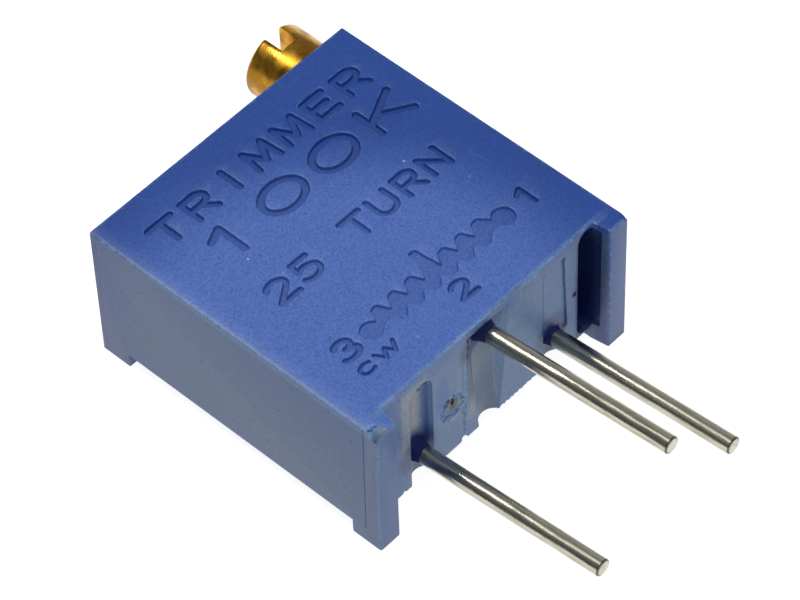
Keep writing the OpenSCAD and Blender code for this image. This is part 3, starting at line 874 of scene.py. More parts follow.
class Workpiece:
    """A mesh that is cut and softened in millimetres before it is placed."""

    WELD = 0.002
    FLAT_DEG = 0.8
    SHARP_DEG = 28
    LEVEL_COS = 0.999
    LEVEL_BAND = 0.001

    def __init__(self, name: str, mesh: bmesh.types.BMesh) -> None:
        """Takes over a mesh.

        Args:
            name: the piece's name.
            mesh: its mesh in millimetres.
        """
        self.name = name
        self.mesh = mesh

    @classmethod
    def like_node(cls, name: str, node: str) -> "Workpiece":
        """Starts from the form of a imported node, with its flat faces whole.

        Args:
            name: the piece's name.
            node: the node that it will stand for.

        Returns:
            The workpiece.
        """
        mesh = bmesh.new()
        mesh.from_mesh(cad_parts[node].data)
        bmesh.ops.scale(mesh, vec=(1 / MM,) * 3, verts=mesh.verts)
        bmesh.ops.remove_doubles(mesh, verts=mesh.verts, dist=cls.WELD)
        flat = math.radians(cls.FLAT_DEG)
        bmesh.ops.dissolve_limit(mesh, angle_limit=flat, verts=mesh.verts, edges=mesh.edges)
        return cls(name, mesh)

    def cut(self, tools: Iterable[bmesh.types.BMesh], add: bool = False) -> None:
        """Takes tools away from the piece, or adds them to it.

        Args:
            tools: the tools' meshes, which are used up.
            add: True to add them.
        """
        for tool in tools:
            body, other = bpy.data.meshes.new("work"), bpy.data.meshes.new("tool")
            self.mesh.to_mesh(body)
            tool.to_mesh(other)
            tool.free()
            holder = bpy.data.objects.new("work", body)
            cutter = bpy.data.objects.new("tool", other)
            for item in (holder, cutter):
                bpy.context.scene.collection.objects.link(item)
            joint = holder.modifiers.new("cut", "BOOLEAN")
            joint.operation = "UNION" if add else "DIFFERENCE"
            joint.solver = "MANIFOLD"
            joint.object = cutter
            graph = bpy.context.evaluated_depsgraph_get()
            result = bpy.data.meshes.new_from_object(holder.evaluated_get(graph))
            self.mesh.clear()
            self.mesh.from_mesh(result)
            for item in (holder, cutter):
                bpy.data.objects.remove(item)
            for data in (body, other, result):
                bpy.data.meshes.remove(data)

    def dice(self, height: float, step: float) -> None:
        """Splits the level face at one height into small triangles, so that marks cut it cleanly.

        Args:
            height: where the face lies.
            step: the size of the triangles.
        """
        def level() -> list[bmesh.types.BMFace]:
            """The faces that lie at that height."""
            return [face for face in self.mesh.faces if face.normal.z > self.LEVEL_COS
                    and abs(face.calc_center_median().z - height) < self.LEVEL_BAND]

        corners_xy = [vert.co for face in level() for vert in face.verts]
        for axis in (0, 1):
            low, high = min(c[axis] for c in corners_xy), max(c[axis] for c in corners_xy)
            count = math.ceil((high - low) / step)
            normal = Vector((1 - axis, axis, 0))
            for n in range(1, count):
                faces = level()
                edges = {edge for face in faces for edge in face.edges}
                verts = {vert for face in faces for vert in face.verts}
                bmesh.ops.bisect_plane(self.mesh, geom=[*faces, *edges, *verts], dist=1e-5, plane_no=normal,
                                       plane_co=normal * (low + (high - low) * n / count))
        bmesh.ops.triangulate(self.mesh, faces=level())

    def soften(self, choose: Callable[[bmesh.types.BMEdge], bool], width: float, segments: int = 2,
               wear: float = 0.0) -> int:
        """Rounds sharp edges and marks the rounded faces as worn.

        Args:
            choose: says whether a sharp edge is rounded.
            width: the width that the rounding takes on each side.
            segments: how many faces make it.
            wear: the wear that its faces are given.

        Returns:
            How many edges were rounded.
        """
        layer = face_layer(self.mesh, WEAR_AND_HIGHLIGHT)
        face_layer(self.mesh, RECESS_SHADE)
        sharp = math.radians(self.SHARP_DEG)
        edges = [edge for edge in self.mesh.edges
                 if len(edge.link_faces) == 2 and edge.calc_face_angle(0.0) > sharp and choose(edge)]
        if edges:
            made = bmesh.ops.bevel(self.mesh, geom=edges, offset=width, offset_type="OFFSET",
                                   segments=segments, profile=0.5, affect="EDGES", clamp_overlap=False,
                                   loop_slide=True)
            for face in made["faces"]:
                face[layer] = wear
        return len(edges)

    def place(self, body: Body, slot: Slot, material: bpy.types.Material, replaces: Sequence[str] = (),
              crease: float = 32.0) -> bpy.types.Object:
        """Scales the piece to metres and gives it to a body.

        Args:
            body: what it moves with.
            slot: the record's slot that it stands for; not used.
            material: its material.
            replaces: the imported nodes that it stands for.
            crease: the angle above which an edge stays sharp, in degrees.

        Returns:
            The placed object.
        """
        face_layer(self.mesh, WEAR_AND_HIGHLIGHT)
        face_layer(self.mesh, RECESS_SHADE)
        for face in self.mesh.faces:
            face.smooth = True
        for edge in self.mesh.edges:
            edge.smooth = edge.calc_face_angle(0.0) < math.radians(crease)
        bmesh.ops.scale(self.mesh, vec=(MM,) * 3, verts=self.mesh.verts)
        data = bpy.data.meshes.new(self.name)
        self.mesh.to_mesh(data)
        self.mesh.free()
        data.materials.append(material)
        made = bpy.data.objects.new(self.name, data)
        bpy.context.scene.collection.objects.link(made)
        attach(made, body.value)
        if replaces:
            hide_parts(*replaces)
        LOG.info("%s: %d faces on %s", self.name, len(data.polygons), body.value)
        return made


def dress_node(node: str, material: bpy.types.Material) -> None:
    """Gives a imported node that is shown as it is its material.

    Args:
        node: the node's name.
        material: the material.
    """
    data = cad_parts[node].data
    data.materials.clear()
    data.materials.append(material)
    LOG.info("%s: packed form, %s", node, material.name)


# ---------------------------------------------------------------- engraving


def arc(centre: Point, radius: Point, start: float, end: float, steps: int = 14) -> list[Point]:
    """Points along an elliptical arc.

    Args:
        centre: its centre.
        radius: its two radii.
        start: the first angle in degrees.
        end: the last angle in degrees.
        steps: how many chords it has.

    Returns:
        The points.
    """
    turns = [math.radians(start + (end - start) * n / steps) for n in range(steps + 1)]
    return [(centre[0] + radius[0] * math.cos(a), centre[1] + radius[1] * math.sin(a)) for a in turns]


GLYPHS: dict[str, list[list[Point]]] = {
    "0": [arc((0.5, 0.5), (0.5, 0.5), 90, 270, 18), arc((0.5, 0.5), (0.5, 0.5), -90, 90, 18)],
    "1": [[(0.16, 0.78), (0.5, 1.0), (0.5, 0.0)]],
    "2": [arc((0.48, 0.72), (0.44, 0.28), 160, -38, 18) + [(0.06, 0.03)],
          [(0.06, 0.0), (1.0, 0.0)]],
    "3": [arc((0.46, 0.75), (0.42, 0.25), 155, -90, 20), arc((0.46, 0.265), (0.5, 0.265), 90, -150, 22)],
    "5": [[(0.9, 1.0), (0.16, 1.0), (0.1, 0.58)], arc((0.46, 0.32), (0.48, 0.32), 135, -145, 22)],
    "C": [arc((0.52, 0.5), (0.5, 0.5), 48, 312, 26)],
    "E": [[(0.95, 1.0), (0.08, 1.0), (0.08, 0.0), (0.95, 0.0)], [(0.08, 0.52), (0.80, 0.52)]],
    "I": [[(0.5, 1.0), (0.5, 0.0)]],
    "K": [[(0.08, 0.0), (0.08, 1.0)], [(0.95, 1.0), (0.08, 0.42)], [(0.34, 0.58), (1.0, 0.0)]],
    "M": [[(0.0, 0.0), (0.08, 1.0), (0.5, 0.15), (0.92, 1.0), (1.0, 0.0)]],
    "N": [[(0.06, 0.0), (0.06, 1.0), (0.94, 0.0), (0.94, 1.0)]],
    "R": [[(0.08, 0.0), (0.08, 1.0)],
          [(0.08, 1.0)] + arc((0.62, 0.74), (0.32, 0.26), 90, -90, 12) + [(0.08, 0.48)],
          [(0.5, 0.48), (0.95, 0.0)]],
    "T": [[(0.0, 1.0), (1.0, 1.0)], [(0.5, 1.0), (0.5, 0.0)]],
    "U": [[(0.06, 1.0)] + arc((0.5, 0.36), (0.44, 0.36), 180, 360, 18) + [(0.94, 1.0)]],
    "W": [[(0.0, 1.0), (0.26, 0.0), (0.5, 0.9), (0.74, 0.0), (1.0, 1.0)]],
}


CORNER_DEG = 30
TINY = 1e-6


def pieces_of(stroke: Sequence[Point]) -> list[list[Point]]:
    """Splits a stroke at its sharp corners, so that each part can be swept.

    Args:
        stroke: the points of the stroke.

    Returns:
        The parts, which share their end points.
    """
    parts: list[list[Point]] = [[stroke[0]]]
    for n in range(1, len(stroke)):
        parts[-1].append(stroke[n])
        if n + 1 < len(stroke):
            one = Vector(stroke[n]) - Vector(stroke[n - 1])
            two = Vector(stroke[n + 1]) - Vector(stroke[n])
            if one.length and two.length and one.angle(two) > math.radians(CORNER_DEG):
                parts.append([stroke[n]])
    return parts


def outline_of(line: Sequence[Point], half: float, cap: int = 7) -> list[Vector]:
    """The outline round a line, at one distance from it, with round ends.

    Args:
        line: the points of the line.
        half: the distance.
        cap: how many chords make each end.

    Returns:
        The closed outline, anticlockwise.
    """
    points = [Vector(p) for p in line]
    ways = [(b - a).normalized() for a, b in zip(points, points[1:])]
    sides = []
    for n in range(len(points)):
        way = (ways[max(n - 1, 0)] + ways[min(n, len(ways) - 1)]).normalized()
        sides.append(Vector((way.y, -way.x)) * half)
    right = [p + s for p, s in zip(points, sides)]
    left = [p - s for p, s in zip(points, sides)]

    def end(middle: Vector, start: Vector) -> list[Vector]:
        """The chord points of one round end."""
        return [middle + Matrix.Rotation(math.pi * n / cap, 2) @ start for n in range(1, cap)]

    return right + end(points[-1], sides[-1]) + left[::-1] + end(points[0], -sides[0])


def grown(outline: Sequence[Vector], by: float) -> list[Vector]:
    """An anticlockwise outline moved outwards.

    Args:
        outline: its points.
        by: the distance, less than 0 to move it inwards.

    Returns:
        As many points.
    """
    count, least_lean = len(outline), 0.5
    made = []
    for n, point in enumerate(outline):
        before = (point - outline[n - 1]).normalized()
        after = (outline[(n + 1) % count] - point).normalized()
        out_before, out_after = Vector((before.y, -before.x)), Vector((after.y, -after.x))
        middle = out_before + out_after
        middle = middle.normalized() if middle.length > TINY else out_after
        made.append(point + middle * by / max(middle.dot(out_after), least_lean))
    return made


def rounded(outline: Sequence[Vector], reach: float) -> list[Vector]:
    """A closed outline with its corners cut twice.

    Args:
        outline: its points.
        reach: how far from a corner the cuts start.

    Returns:
        The rounder outline.
    """
    made, longest = list(outline), 0.3
    for share in (1.0, 0.45):
        softer = []
        for n, point in enumerate(made):
            for other in (made[n - 1], made[(n + 1) % len(made)]):
                way = other - point
                softer.append(point + way * min(reach * share / max(way.length, TINY), longest))
        made = softer
    return made


@dataclass
class Engraving:
    """Marks sunk into the marked face, with a rolled lip.

    LETTERS gives the terminals' numbers and the turning sense, each with its corner, size and
    stroke. WORDS gives the kind, the value and the turns, with the step between letters as well.
    """

    LETTERS = (
        ("3", (-3.47, 2.16), (0.60, 0.62), 0.17),
        ("1", (3.30, 2.15), (0.66, 0.60), 0.15),
        ("2", (-0.08, 1.33), (0.58, 0.56), 0.15),
        ("C", (-3.50, 1.53), (0.48, 0.30), 0.11),
        ("W", (-2.86, 1.54), (0.68, 0.30), 0.11),
    )
    WORDS = (
        ("TRIMMER", (-3.75, 8.20), (0.80, 0.72), 1.14, 0.20),
        ("100K", (-3.15, 6.68), (1.36, 0.96), 1.92, 0.22),
        ("25 TURN", (-3.22, 4.68), (0.70, 0.70), 0.96, 0.17),
    )

    face_z: float
    seat_y: float
    depth: float = 0.095
    lip: float = 0.030
    symbol_depth: float = 0.082
    symbol_corner: float = 0.045
    lean: float = 0.25
    lip_curve: tuple[Point, ...] = ((-0.45, 0.22), (-0.12, 0.62), (0.0, 1.0))
    above: float = 0.05
    flare: float = 1.3

    def tool(self, outlines: Callable[[float], Sequence[Vector]], half: float,
             depth: float) -> bmesh.types.BMesh:
        """A cutter whose wall leans and flares into a lip at the face.

        Args:
            outlines: gives the outline at a distance from the mark's middle line or border.
            half: the distance of the mark's own border.
            depth: the depth of its floor.

        Returns:
            The cutter.
        """
        lip = self.lip
        levels = [(-depth, half - self.lean * depth), (-lip, half)]
        levels += [(z * lip, half + out * lip) for z, out in self.lip_curve]
        levels.append((self.above, half + self.flare * lip))
        return loft([[Vector((p.x, p.y, self.face_z + z)) for p in outlines(w)] for z, w in levels])

    def glyph(self, letter: str, corner: Point, size: Point, width: float) -> list[bmesh.types.BMesh]:
        """The cutters of one letter or digit.

        Args:
            letter: which one.
            corner: its lower left corner, in seat coordinates.
            size: its width and height.
            width: the width of its strokes.

        Returns:
            One cutter a stroke.
        """
        tools = []
        for stroke in GLYPHS[letter]:
            placed = [(corner[0] + x * size[0], corner[1] + y * size[1] - self.seat_y) for x, y in stroke]
            for part in pieces_of(placed):
                tools.append(self.tool(lambda w, part=part: outline_of(part, w), width / 2, self.depth))
        return tools

    def word(self, letters: str, corner: Point, size: Point, step: float,
             width: float) -> list[bmesh.types.BMesh]:
        """The cutters of a row of letters.

        Args:
            letters: the row, where a space leaves a gap.
            corner: its lower left corner, in seat coordinates.
            size: the size of one letter.
            step: from one letter to the next.
            width: the width of the strokes.

        Returns:
            The cutters.
        """
        tools = []
        for n, letter in enumerate(letters):
            if letter != " ":
                tools += self.glyph(letter, (corner[0] + n * step, corner[1]), size, width)
        return tools

    def symbol(self) -> bmesh.types.BMesh:
        """The cutter of the resistor sign: a bold zigzag between two round ends, with the tap's arrow.

        Returns:
            The cutter.
        """
        pitch, first, peaks = 0.632, -1.74, 7
        top, valley, foot, cusp, shoulder = 2.92, 2.53, 2.07, 2.34, 2.30
        left, right = (-2.32, 2.42, 0.31), (2.68, 2.42, 0.33)
        upper: list[Point] = []
        lower: list[Point] = []
        for n in range(peaks):
            x = first + n * pitch
            if n == peaks // 2:
                upper += [(x - 0.10, top + 0.06), (x - 0.05, 3.42), (x + 0.20, 3.40), (x + 0.22, top + 0.14)]
            else:
                upper += [(x - 0.13, top - 0.03), (x + 0.11, top)]
            upper.append((x + 0.29, valley))
            if n < peaks - 1:
                lower += arc((x + 0.325, foot + 0.14), (0.175, 0.145), 200, 340, 6) + [(x + 0.645, cusp)]
        ring = arc(left[:2], (left[2],) * 2, 38, 318, 20)
        ring += [(-1.92, shoulder), (-1.66, shoulder)]
        ring += lower[:-1]
        ring += [(2.13, shoulder), (2.34, shoulder - 0.02)]
        ring += arc(right[:2], (right[2],) * 2, -150, 146, 22)
        ring += upper[:-1][::-1]
        ring.append((-2.00, 2.55))
        outline = rounded([Vector((x, y - self.seat_y)) for x, y in ring], self.symbol_corner)
        return self.tool(lambda w: grown(outline, w), 0.0, self.symbol_depth)

    def tools(self) -> list[bmesh.types.BMesh]:
        """All cutters: the resistor sign, then the single letters and digits, then the words.

        Returns:
            The cutters, in the order in which they cut.
        """
        made = [self.symbol()]
        for letter, corner, size, width in self.LETTERS:
            made += self.glyph(letter, corner, size, width)
        for letters, corner, size, step, width in self.WORDS:
            made += self.word(letters, corner, size, step, width)
        return made


# ---------------------------------------------------------------- the part


@dataclass
class Housing:
    """The moulded case with its marks, the traces of its mould and its handling, and painted light and
    shade.
    """

    standoff: float = 0.56
    foot: float = 0.48
    rib_far: float = 0.74
    edge: float = 0.035
    band: float = 0.02
    shortest_edge: float = 0.2
    patch: float = 0.5
    gate: Point = (-1.38, 2.25)
    gate_r: float = 0.42
    parting_y: float = 0.45
    marked_half: float = 4.5
    marked_in: Point = (0.2, 0.3)
    lip_wear_and_highlight: float = 0.45
    symbol_floor_shade: float = 0.55
    groove_out: float = 0.02
    flakes: int = 13
    flash_bumps: int = 12
    rim_bites: int = 9

    def __post_init__(self) -> None:
        """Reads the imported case's box."""
        self.low, self.high = box_mm("housing")
        self.wall = self.low.y + self.standoff

    def build(self) -> None:
        """Builds the case and its small traces."""
        marks = Engraving(face_z=self.high.z, seat_y=-self.low.y)
        case = Workpiece.like_node("case_moulding", "housing")
        count = case.soften(self.is_outer, self.edge, 3, 1.0)
        LOG.info("outer edges rounded: %d", count)
        for vert in case.mesh.verts:
            vert.co.z = min(vert.co.z, self.high.z)  # the rounding may not rise past the marked face
        case.dice(self.high.z, self.patch)
        case.cut(marks.tools())
        self.tag_marks(case, marks)
        case.cut([*self.grooves(), *self.chips(), *self.ragged_edge()])
        case.cut(self.gate_flakes(), add=True)
        blue = MouldedBlue().build("moulded_blue", self.patches())
        case.place(Body.CASE, Slot.BLUE_PLASTIC, blue, ["housing"], crease=30.0)

    def is_outer(self, edge: bmesh.types.BMEdge) -> bool:
        """Says whether an edge lies along the outside of the case.

        Args:
            edge: a sharp edge.

        Returns:
            True for a long convex edge in one of the box's sides.
        """
        if edge.calc_length() < self.shortest_edge or not edge.is_convex:
            return False
        sides = [(axis, limit[axis]) for axis in range(3) for limit in (self.low, self.high)]
        return any(all(abs(vert.co[axis] - at) < self.band for vert in edge.verts) for axis, at in sides)

    def tag_marks(self, case: Workpiece, marks: Engraving) -> None:
        """Stores which faces are the lips and floors of the marks: painted shade for the floors, and for the
        lips a paleness that is partly painted highlight.

        Args:
            case: the case with its marks cut.
            marks: the engraving.
        """
        wear, recess_shade = face_layer(case.mesh, WEAR_AND_HIGHLIGHT), face_layer(case.mesh, RECESS_SHADE)
        near, far = self.wall + self.marked_in[0], self.high.y - self.marked_in[1]
        least, slack, hair, upward, level = 0.0005, 0.01, 0.004, 0.02, 0.9
        lip_floor = marks.lip * 0.6
        for face in case.mesh.faces:
            middle = face.calc_center_median()
            sunk = self.high.z - middle.z
            inside = abs(middle.x) < self.marked_half and near < middle.y < far
            if inside and least < sunk < marks.depth + slack and face.normal.z > upward:
                deepest = sunk > marks.symbol_depth + hair or abs(face.normal.z) < level
                floor = 1.0 if deepest else self.symbol_floor_shade
                face[recess_shade] = 0.0 if sunk < lip_floor else floor
                # The lips pale: worn rims, partly painted highlight.
                face[wear] = self.lip_wear_and_highlight if sunk < lip_floor else 0.0

    def groove(self, start: Sequence[float], end: Sequence[float], side: Vector, inward: Vector,
               wide: float = 0.03, deep: float = 0.022) -> bmesh.types.BMesh:
        """Cutter of a fine V-shaped groove.

        Args:
            start: where it starts, on the surface.
            end: where it ends.
            side: the way across it.
            inward: the way into the case.
            wide: half its width, a little outside the surface.
            deep: its depth.

        Returns:
            The cutter.
        """
        out, across, down = -inward * self.groove_out, side * wide, inward * deep
        return loft([[Vector(at) + out - across, Vector(at) + down, Vector(at) + out + across]
                     for at in (start, end)])

    def grooves(self) -> list[bmesh.types.BMesh]:
        """Cutters of the parting line on the near side and of the border of the strip at terminal 1.

        Returns:
            One cutter a straight line.
        """
        x, y = self.low.x, self.low.y + self.parting_y
        across, up, inward = Vector((1, 0, 0)), Vector((0, 0, 1)), Vector((0, 1, 0))
        left, top, right, wall = 2.15, 4.27, 2.96, self.wall
        wide, deep = 0.065, 0.13
        slant = (across - up) * 0.7
        return [
            self.groove((x, y + 0.06, self.foot + 0.1), (x, y, self.high.z + 0.1), inward, across),
            self.groove((left, wall, 1.75), (left, wall, top - 0.20), across, inward, wide, deep),
            self.groove((left, wall, top - 0.25), (left + 0.12, wall, top), slant, inward, wide, deep),
            self.groove((left + 0.08, wall, top), (right, wall, top), up, inward, wide, deep),
        ]

    def chips(self) -> list[bmesh.types.BMesh]:
        """Cutters of the knocks at the corners and of the gate's scar.

        Returns:
            One rough ball a knock.
        """
        low, high, wall = self.low, self.high, self.wall
        gate_x, gate_z = self.gate
        scar = self.gate_r * 0.86
        return [
            rough_ball((low.x + 0.10, low.y + 0.05, high.z + 0.02), (0.30, 0.36, 0.11), 0.5, 3.1, 2.2),
            rough_ball((low.x + 0.02, low.y + 0.02, high.z - 0.06), (0.12, 0.14, 0.20), 0.4, 8.2),
            rough_ball((high.x, low.y, high.z + 0.01), (0.16, 0.20, 0.12), 0.5, 5.7),
            rough_ball((high.x, low.y + 0.02, 1.9), (0.03, 0.05, 0.12), 0.5, 1.3),
            rough_ball((low.x + 0.01, low.y + 0.01, 0.0), (0.06, 0.07, 0.05), 0.4, 2.6),
            rough_ball((gate_x, wall - 0.01, gate_z), (scar, 0.07, scar), 0.35, 4.4, 2.0),
            rough_ball((gate_x + 0.05, wall, gate_z + 0.22), (0.055, 0.26, 0.26), 0.4, 6.1),
            rough_ball((3.36, wall, 2.45), (0.07, 0.10, 0.09), 0.4, 7.7),
        ]

    def ragged_edge(self) -> list[bmesh.types.BMesh]:
        """Cutters that break the lower edge of the terminals' wall.

        Returns:
            The cutters.
        """
        made, first, step = [], 0.52, 0.17
        for n in range(self.rim_bites):
            size = 0.055 + 0.05 * abs(noise.noise(Vector((n * 1.7, 4.2, 0.3))))
            centre = (first + step * n, self.wall + 0.02, self.foot - 0.02)
            made.append(rough_ball(centre, (size * 1.3, 0.12, size), 0.5, n * 1.3))
        for x, size in ((-2.30, 0.07), (-1.72, 0.05), (-0.96, 0.14), (-3.25, 0.06), (2.95, 0.06),
                        (3.30, 0.05)):
            made.append(rough_ball((x, self.wall + 0.02, self.foot), (size, 0.14, size * 1.1), 0.5, x))
        return made

    def gate_flakes(self) -> list[bmesh.types.BMesh]:
        """The torn lip round the gate's scar and the flash beside it.

        Returns:
            The small lumps that are added to the case.
        """
        made = []
        for n in range(self.flakes):
            turn = math.tau * n / self.flakes
            size = 0.045 + 0.04 * abs(noise.noise(Vector((n * 2.1, 0.7, 5.0))))
            reach = self.gate_r * (0.93 + 0.12 * noise.noise(Vector((n * 0.9, 3.0, 1.0))))
            x, z = self.gate[0] + reach * math.cos(turn), self.gate[1] + reach * math.sin(turn)
            made.append(rough_ball((x, self.wall, z), (size * 1.4, 0.035, size * 1.1), 0.5, n * 0.77))
        first, step, drift = (-0.93, self.foot + 0.35), 0.32, 0.018
        for n in range(self.flash_bumps):
            tall = 0.12 + 0.10 * abs(noise.noise(Vector((n * 1.3, 9.1, 2.0))))
            centre = (first[0] + drift * n, self.wall, first[1] + step * n)
            made.append(rough_ball(centre, (0.03, 0.022, tall), 0.4, n * 1.9))
        return made

    def patches(self) -> list[Patch]:
        """The worn, stained and dirty places of the case, and the painted light and shade on it.

        Returns:
            The patches, the lowest first.
        """
        wall, rim, low, high = self.wall, self.high.z, self.low, self.high
        made = [
            # Painted light: the marked face lighter in its middle, darker towards its far corners and edges.
            Patch(Tone.BRIGHT_BLUE_AND_PAINTED_LIGHT, (-3.0, -0.8, rim), (7.6, 7.7, 0.3), 1.0, 0.0),
            # Painted reflection: the sides greyed as if they mirrored the white floor.
            Patch(Tone.PAINTED_GREY_REFLECTION, (low.x, -0.6, 1.8), (0.12, 9.0, 4.9), 0.32, 0.34, False),
            Patch(Tone.PAINTED_GREY_REFLECTION, (low.x, -0.6, 1.8), (0.12, 9.0, 4.9), 0.16, 0.72, False),
            Patch(Tone.PAINTED_GREY_REFLECTION, (high.x, -0.6, 1.8), (0.12, 9.0, 4.9), 0.18, 0.60, False),
            Patch(Tone.PAINTED_GREY_REFLECTION, (0.0, high.y, 1.8), (9.0, 0.12, 4.9), 0.18, 0.60, False),
            # Painted reflection: the ribs' front faces and the terminals' wall paler and lighter, as if they
            # mirrored the white floor.
            Patch(Tone.PAINTED_PALE_LIGHT, (0.0, low.y, 2.2), (9.0, 0.12, 4.9), 0.36, 0.34, False),
            Patch(Tone.PAINTED_PALE_LIGHT, (0.0, wall - 0.01, 1.4), (4.95, 0.15, 4.1), 0.85, 0.30, False),
            Patch(Tone.WORN_AND_PAINTED_LIGHT, (0.0, wall - 0.01, 1.4), (4.95, 0.15, 4.1), 0.24, 0.60, False),
            # Painted light: the floors of the channels at terminals 3 and 2 lightened against the shade
            # inside them.
            Patch(Tone.PAINTED_PALE_LIGHT, (-2.68, wall + 0.3, 2.4), (0.50, 0.40, 2.25), 0.95, 0.20, False),
            Patch(Tone.DUST_AND_PAINTED_LIGHT, (-2.80, wall + 0.3, 3.2), (0.56, 0.40, 1.5), 0.68, 0.26, False),
            Patch(Tone.PAINTED_PALE_LIGHT, (-0.10, wall + 0.3, 2.2), (1.00, 0.40, 2.4), 0.90, 0.20, False),
            Patch(Tone.DUST_AND_PAINTED_LIGHT, (-0.20, wall + 0.3, 2.4), (0.70, 0.40, 1.5), 0.62, 0.28, False),
            # Painted shade: dark lines along the cut border of the strip at terminal 1.
            Patch(Tone.NAVY, (2.14, wall + 0.1, 3.1), (0.05, 0.3, 1.3), 0.9, 0.15, False),
            Patch(Tone.NAVY, (2.56, wall + 0.1, 4.28), (0.50, 0.3, 0.05), 0.9, 0.15, False),
            Patch(Tone.WORN_AND_PAINTED_LIGHT, (0.0, wall, rim), (3.95, 0.06, 0.09), 0.85, 0.50, False),
            Patch(Tone.WORN_AND_PAINTED_LIGHT, (-3.7, wall, rim), (0.35, 0.11, 0.14), 0.9, 0.45),
            Patch(Tone.OCHRE, (-0.82, wall, rim), (0.22, 0.07, 0.10), 0.8, 0.46),
            Patch(Tone.WORN_AND_PAINTED_LIGHT, (-0.95, wall, rim), (0.40, 0.14, 0.16), 0.9, 0.46),
            Patch(Tone.OLIVE, (0.9, wall, rim), (1.3, 0.08, 0.08), 0.7, 0.50),
            Patch(Tone.WORN_AND_PAINTED_LIGHT, (1.24, wall, rim - 0.28), (0.06, 0.05, 0.30), 0.75, 0.44),
            Patch(Tone.WORN_AND_PAINTED_LIGHT, (1.80, wall, rim - 0.10), (0.09, 0.05, 0.22), 0.75, 0.44),
            Patch(Tone.WORN_AND_PAINTED_LIGHT, (1.55, wall, rim - 0.10), (0.55, 0.05, 0.16), 0.5, 0.47),
            # Painted highlight and shadow: pale lines beside the flash and a navy shadow line along it.
            Patch(Tone.WORN_AND_PAINTED_LIGHT, (-1.10, wall, 2.8), (0.19, 0.06, 1.5), 0.55, 0.47, False),
            Patch(Tone.NAVY, (-0.98, wall, 2.6), (0.035, 0.07, 2.0), 0.55, 0.46, False),
            Patch(Tone.WORN_AND_PAINTED_LIGHT, (-0.86, wall, 2.4), (0.05, 0.09, 2.1), 0.80, 0.44, False),
            Patch(Tone.BRIGHT_BLUE_AND_PAINTED_LIGHT, (-1.75, wall, 2.9), (0.3, 0.05, 1.3), 0.7, 0.4),
        ]
        made += self.gate_patches() + self.corner_patches() + self.root_shade_and_resin()
        rib = high.x - self.rib_far
        made += [
            # Painted shade: the pocket beside the right rib black inside and navy towards its edges.
            Patch(Tone.SOOT_AND_PAINTED_SHADE, (rib - 0.22, wall + 0.66, 2.3), (0.46, 0.90, 2.3), 0.98, 0.0, False),
            Patch(Tone.NAVY, (rib + 0.02, wall + 0.3, 2.3), (0.16, 0.8, 2.3), 0.8, 0.2, False),
            Patch(Tone.NAVY, (rib - 0.44, wall + 0.02, 2.5), (0.26, 0.10, 2.3), 0.75, 0.15),
            Patch(Tone.WORN_AND_PAINTED_LIGHT, (rib, low.y + 0.02, 2.3), (0.05, 0.12, 2.4), 0.85, 0.40, False),
            Patch(Tone.OLIVE, (rib, low.y + 0.30, 3.2), (0.09, 0.26, 1.5), 0.75, 0.42, False),
            Patch(Tone.NAVY, (3.36, wall, 2.47), (0.16, 0.08, 0.17), 0.9, 0.40),
            Patch(Tone.OCHRE, (3.50, wall, 2.34), (0.07, 0.06, 0.11), 0.8, 0.40),
            # Darker along the bottom of the right rib's front face.
            Patch(Tone.NAVY, (high.x - 0.37, low.y, 0.10), (0.42, 0.10, 0.12), 0.6, 0.35, False),
        ]
        return made + self.side_marks()

    def gate_patches(self) -> list[Patch]:
        """The tones of the gate's scar.

        Returns:
            Its patches.
        """
        x, z, wall = *self.gate, self.wall
        return [
            Patch(Tone.WORN_AND_PAINTED_LIGHT, (x, wall, z), (0.72, 0.2, 0.72), 0.80, 0.43),
            Patch(Tone.OLIVE, (x + 0.02, wall + 0.04, z - 0.02), (0.36, 0.12, 0.36), 0.5, 0.38),
            Patch(Tone.DUST_AND_PAINTED_LIGHT, (x + 0.30, wall, z - 0.02), (0.09, 0.1, 0.22), 0.6, 0.42),
            Patch(Tone.DUST_AND_PAINTED_LIGHT, (x + 0.02, wall, z - 0.46), (0.20, 0.1, 0.09), 0.6, 0.44),
            Patch(Tone.NAVY, (x - 0.22, wall, z + 0.38), (0.18, 0.1, 0.16), 0.7, 0.40),
            Patch(Tone.OCHRE, (x + 0.05, wall + 0.05, z + 0.12), (0.15, 0.3, 0.36), 0.95, 0.25),
            Patch(Tone.SOOT_AND_PAINTED_SHADE, (x + 0.03, wall + 0.12, z + 0.24), (0.07, 0.3, 0.26), 0.9, 0.20),
        ]

    def corner_patches(self) -> list[Patch]:
        """The tones of the knocked corners.

        Returns:
            Their patches.
        """
        x, y, z = self.low.x, self.low.y, self.high.z
        return [
            Patch(Tone.WORN_AND_PAINTED_LIGHT, (x + 0.12, y + 0.14, z), (0.42, 0.46, 0.20), 0.62, 0.44),
            # Painted shade: greenish dark in the hollow of the knocked corner.
            Patch(Tone.OLIVE, (x + 0.20, y + 0.08, z), (0.26, 0.26, 0.20), 0.75, 0.38),
            Patch(Tone.OCHRE, (x + 0.33, y + 0.02, z), (0.05, 0.07, 0.10), 0.6, 0.30),
            Patch(Tone.WORN_AND_PAINTED_LIGHT, (x, y, 2.3), (0.07, 0.07, 2.4), 0.75, 0.44, False),
            Patch(Tone.NAVY, (x + 0.05, y, 2.1), (0.03, 0.03, 2.0), 0.5, 0.48, False),
            Patch(Tone.SOOT_AND_PAINTED_SHADE, (self.high.x, y, z), (0.18, 0.16, 0.14), 0.6, 0.40),
            Patch(Tone.WORN_AND_PAINTED_LIGHT, (self.high.x, y, 2.6), (0.05, 0.05, 2.2), 0.6, 0.50, False),
        ]

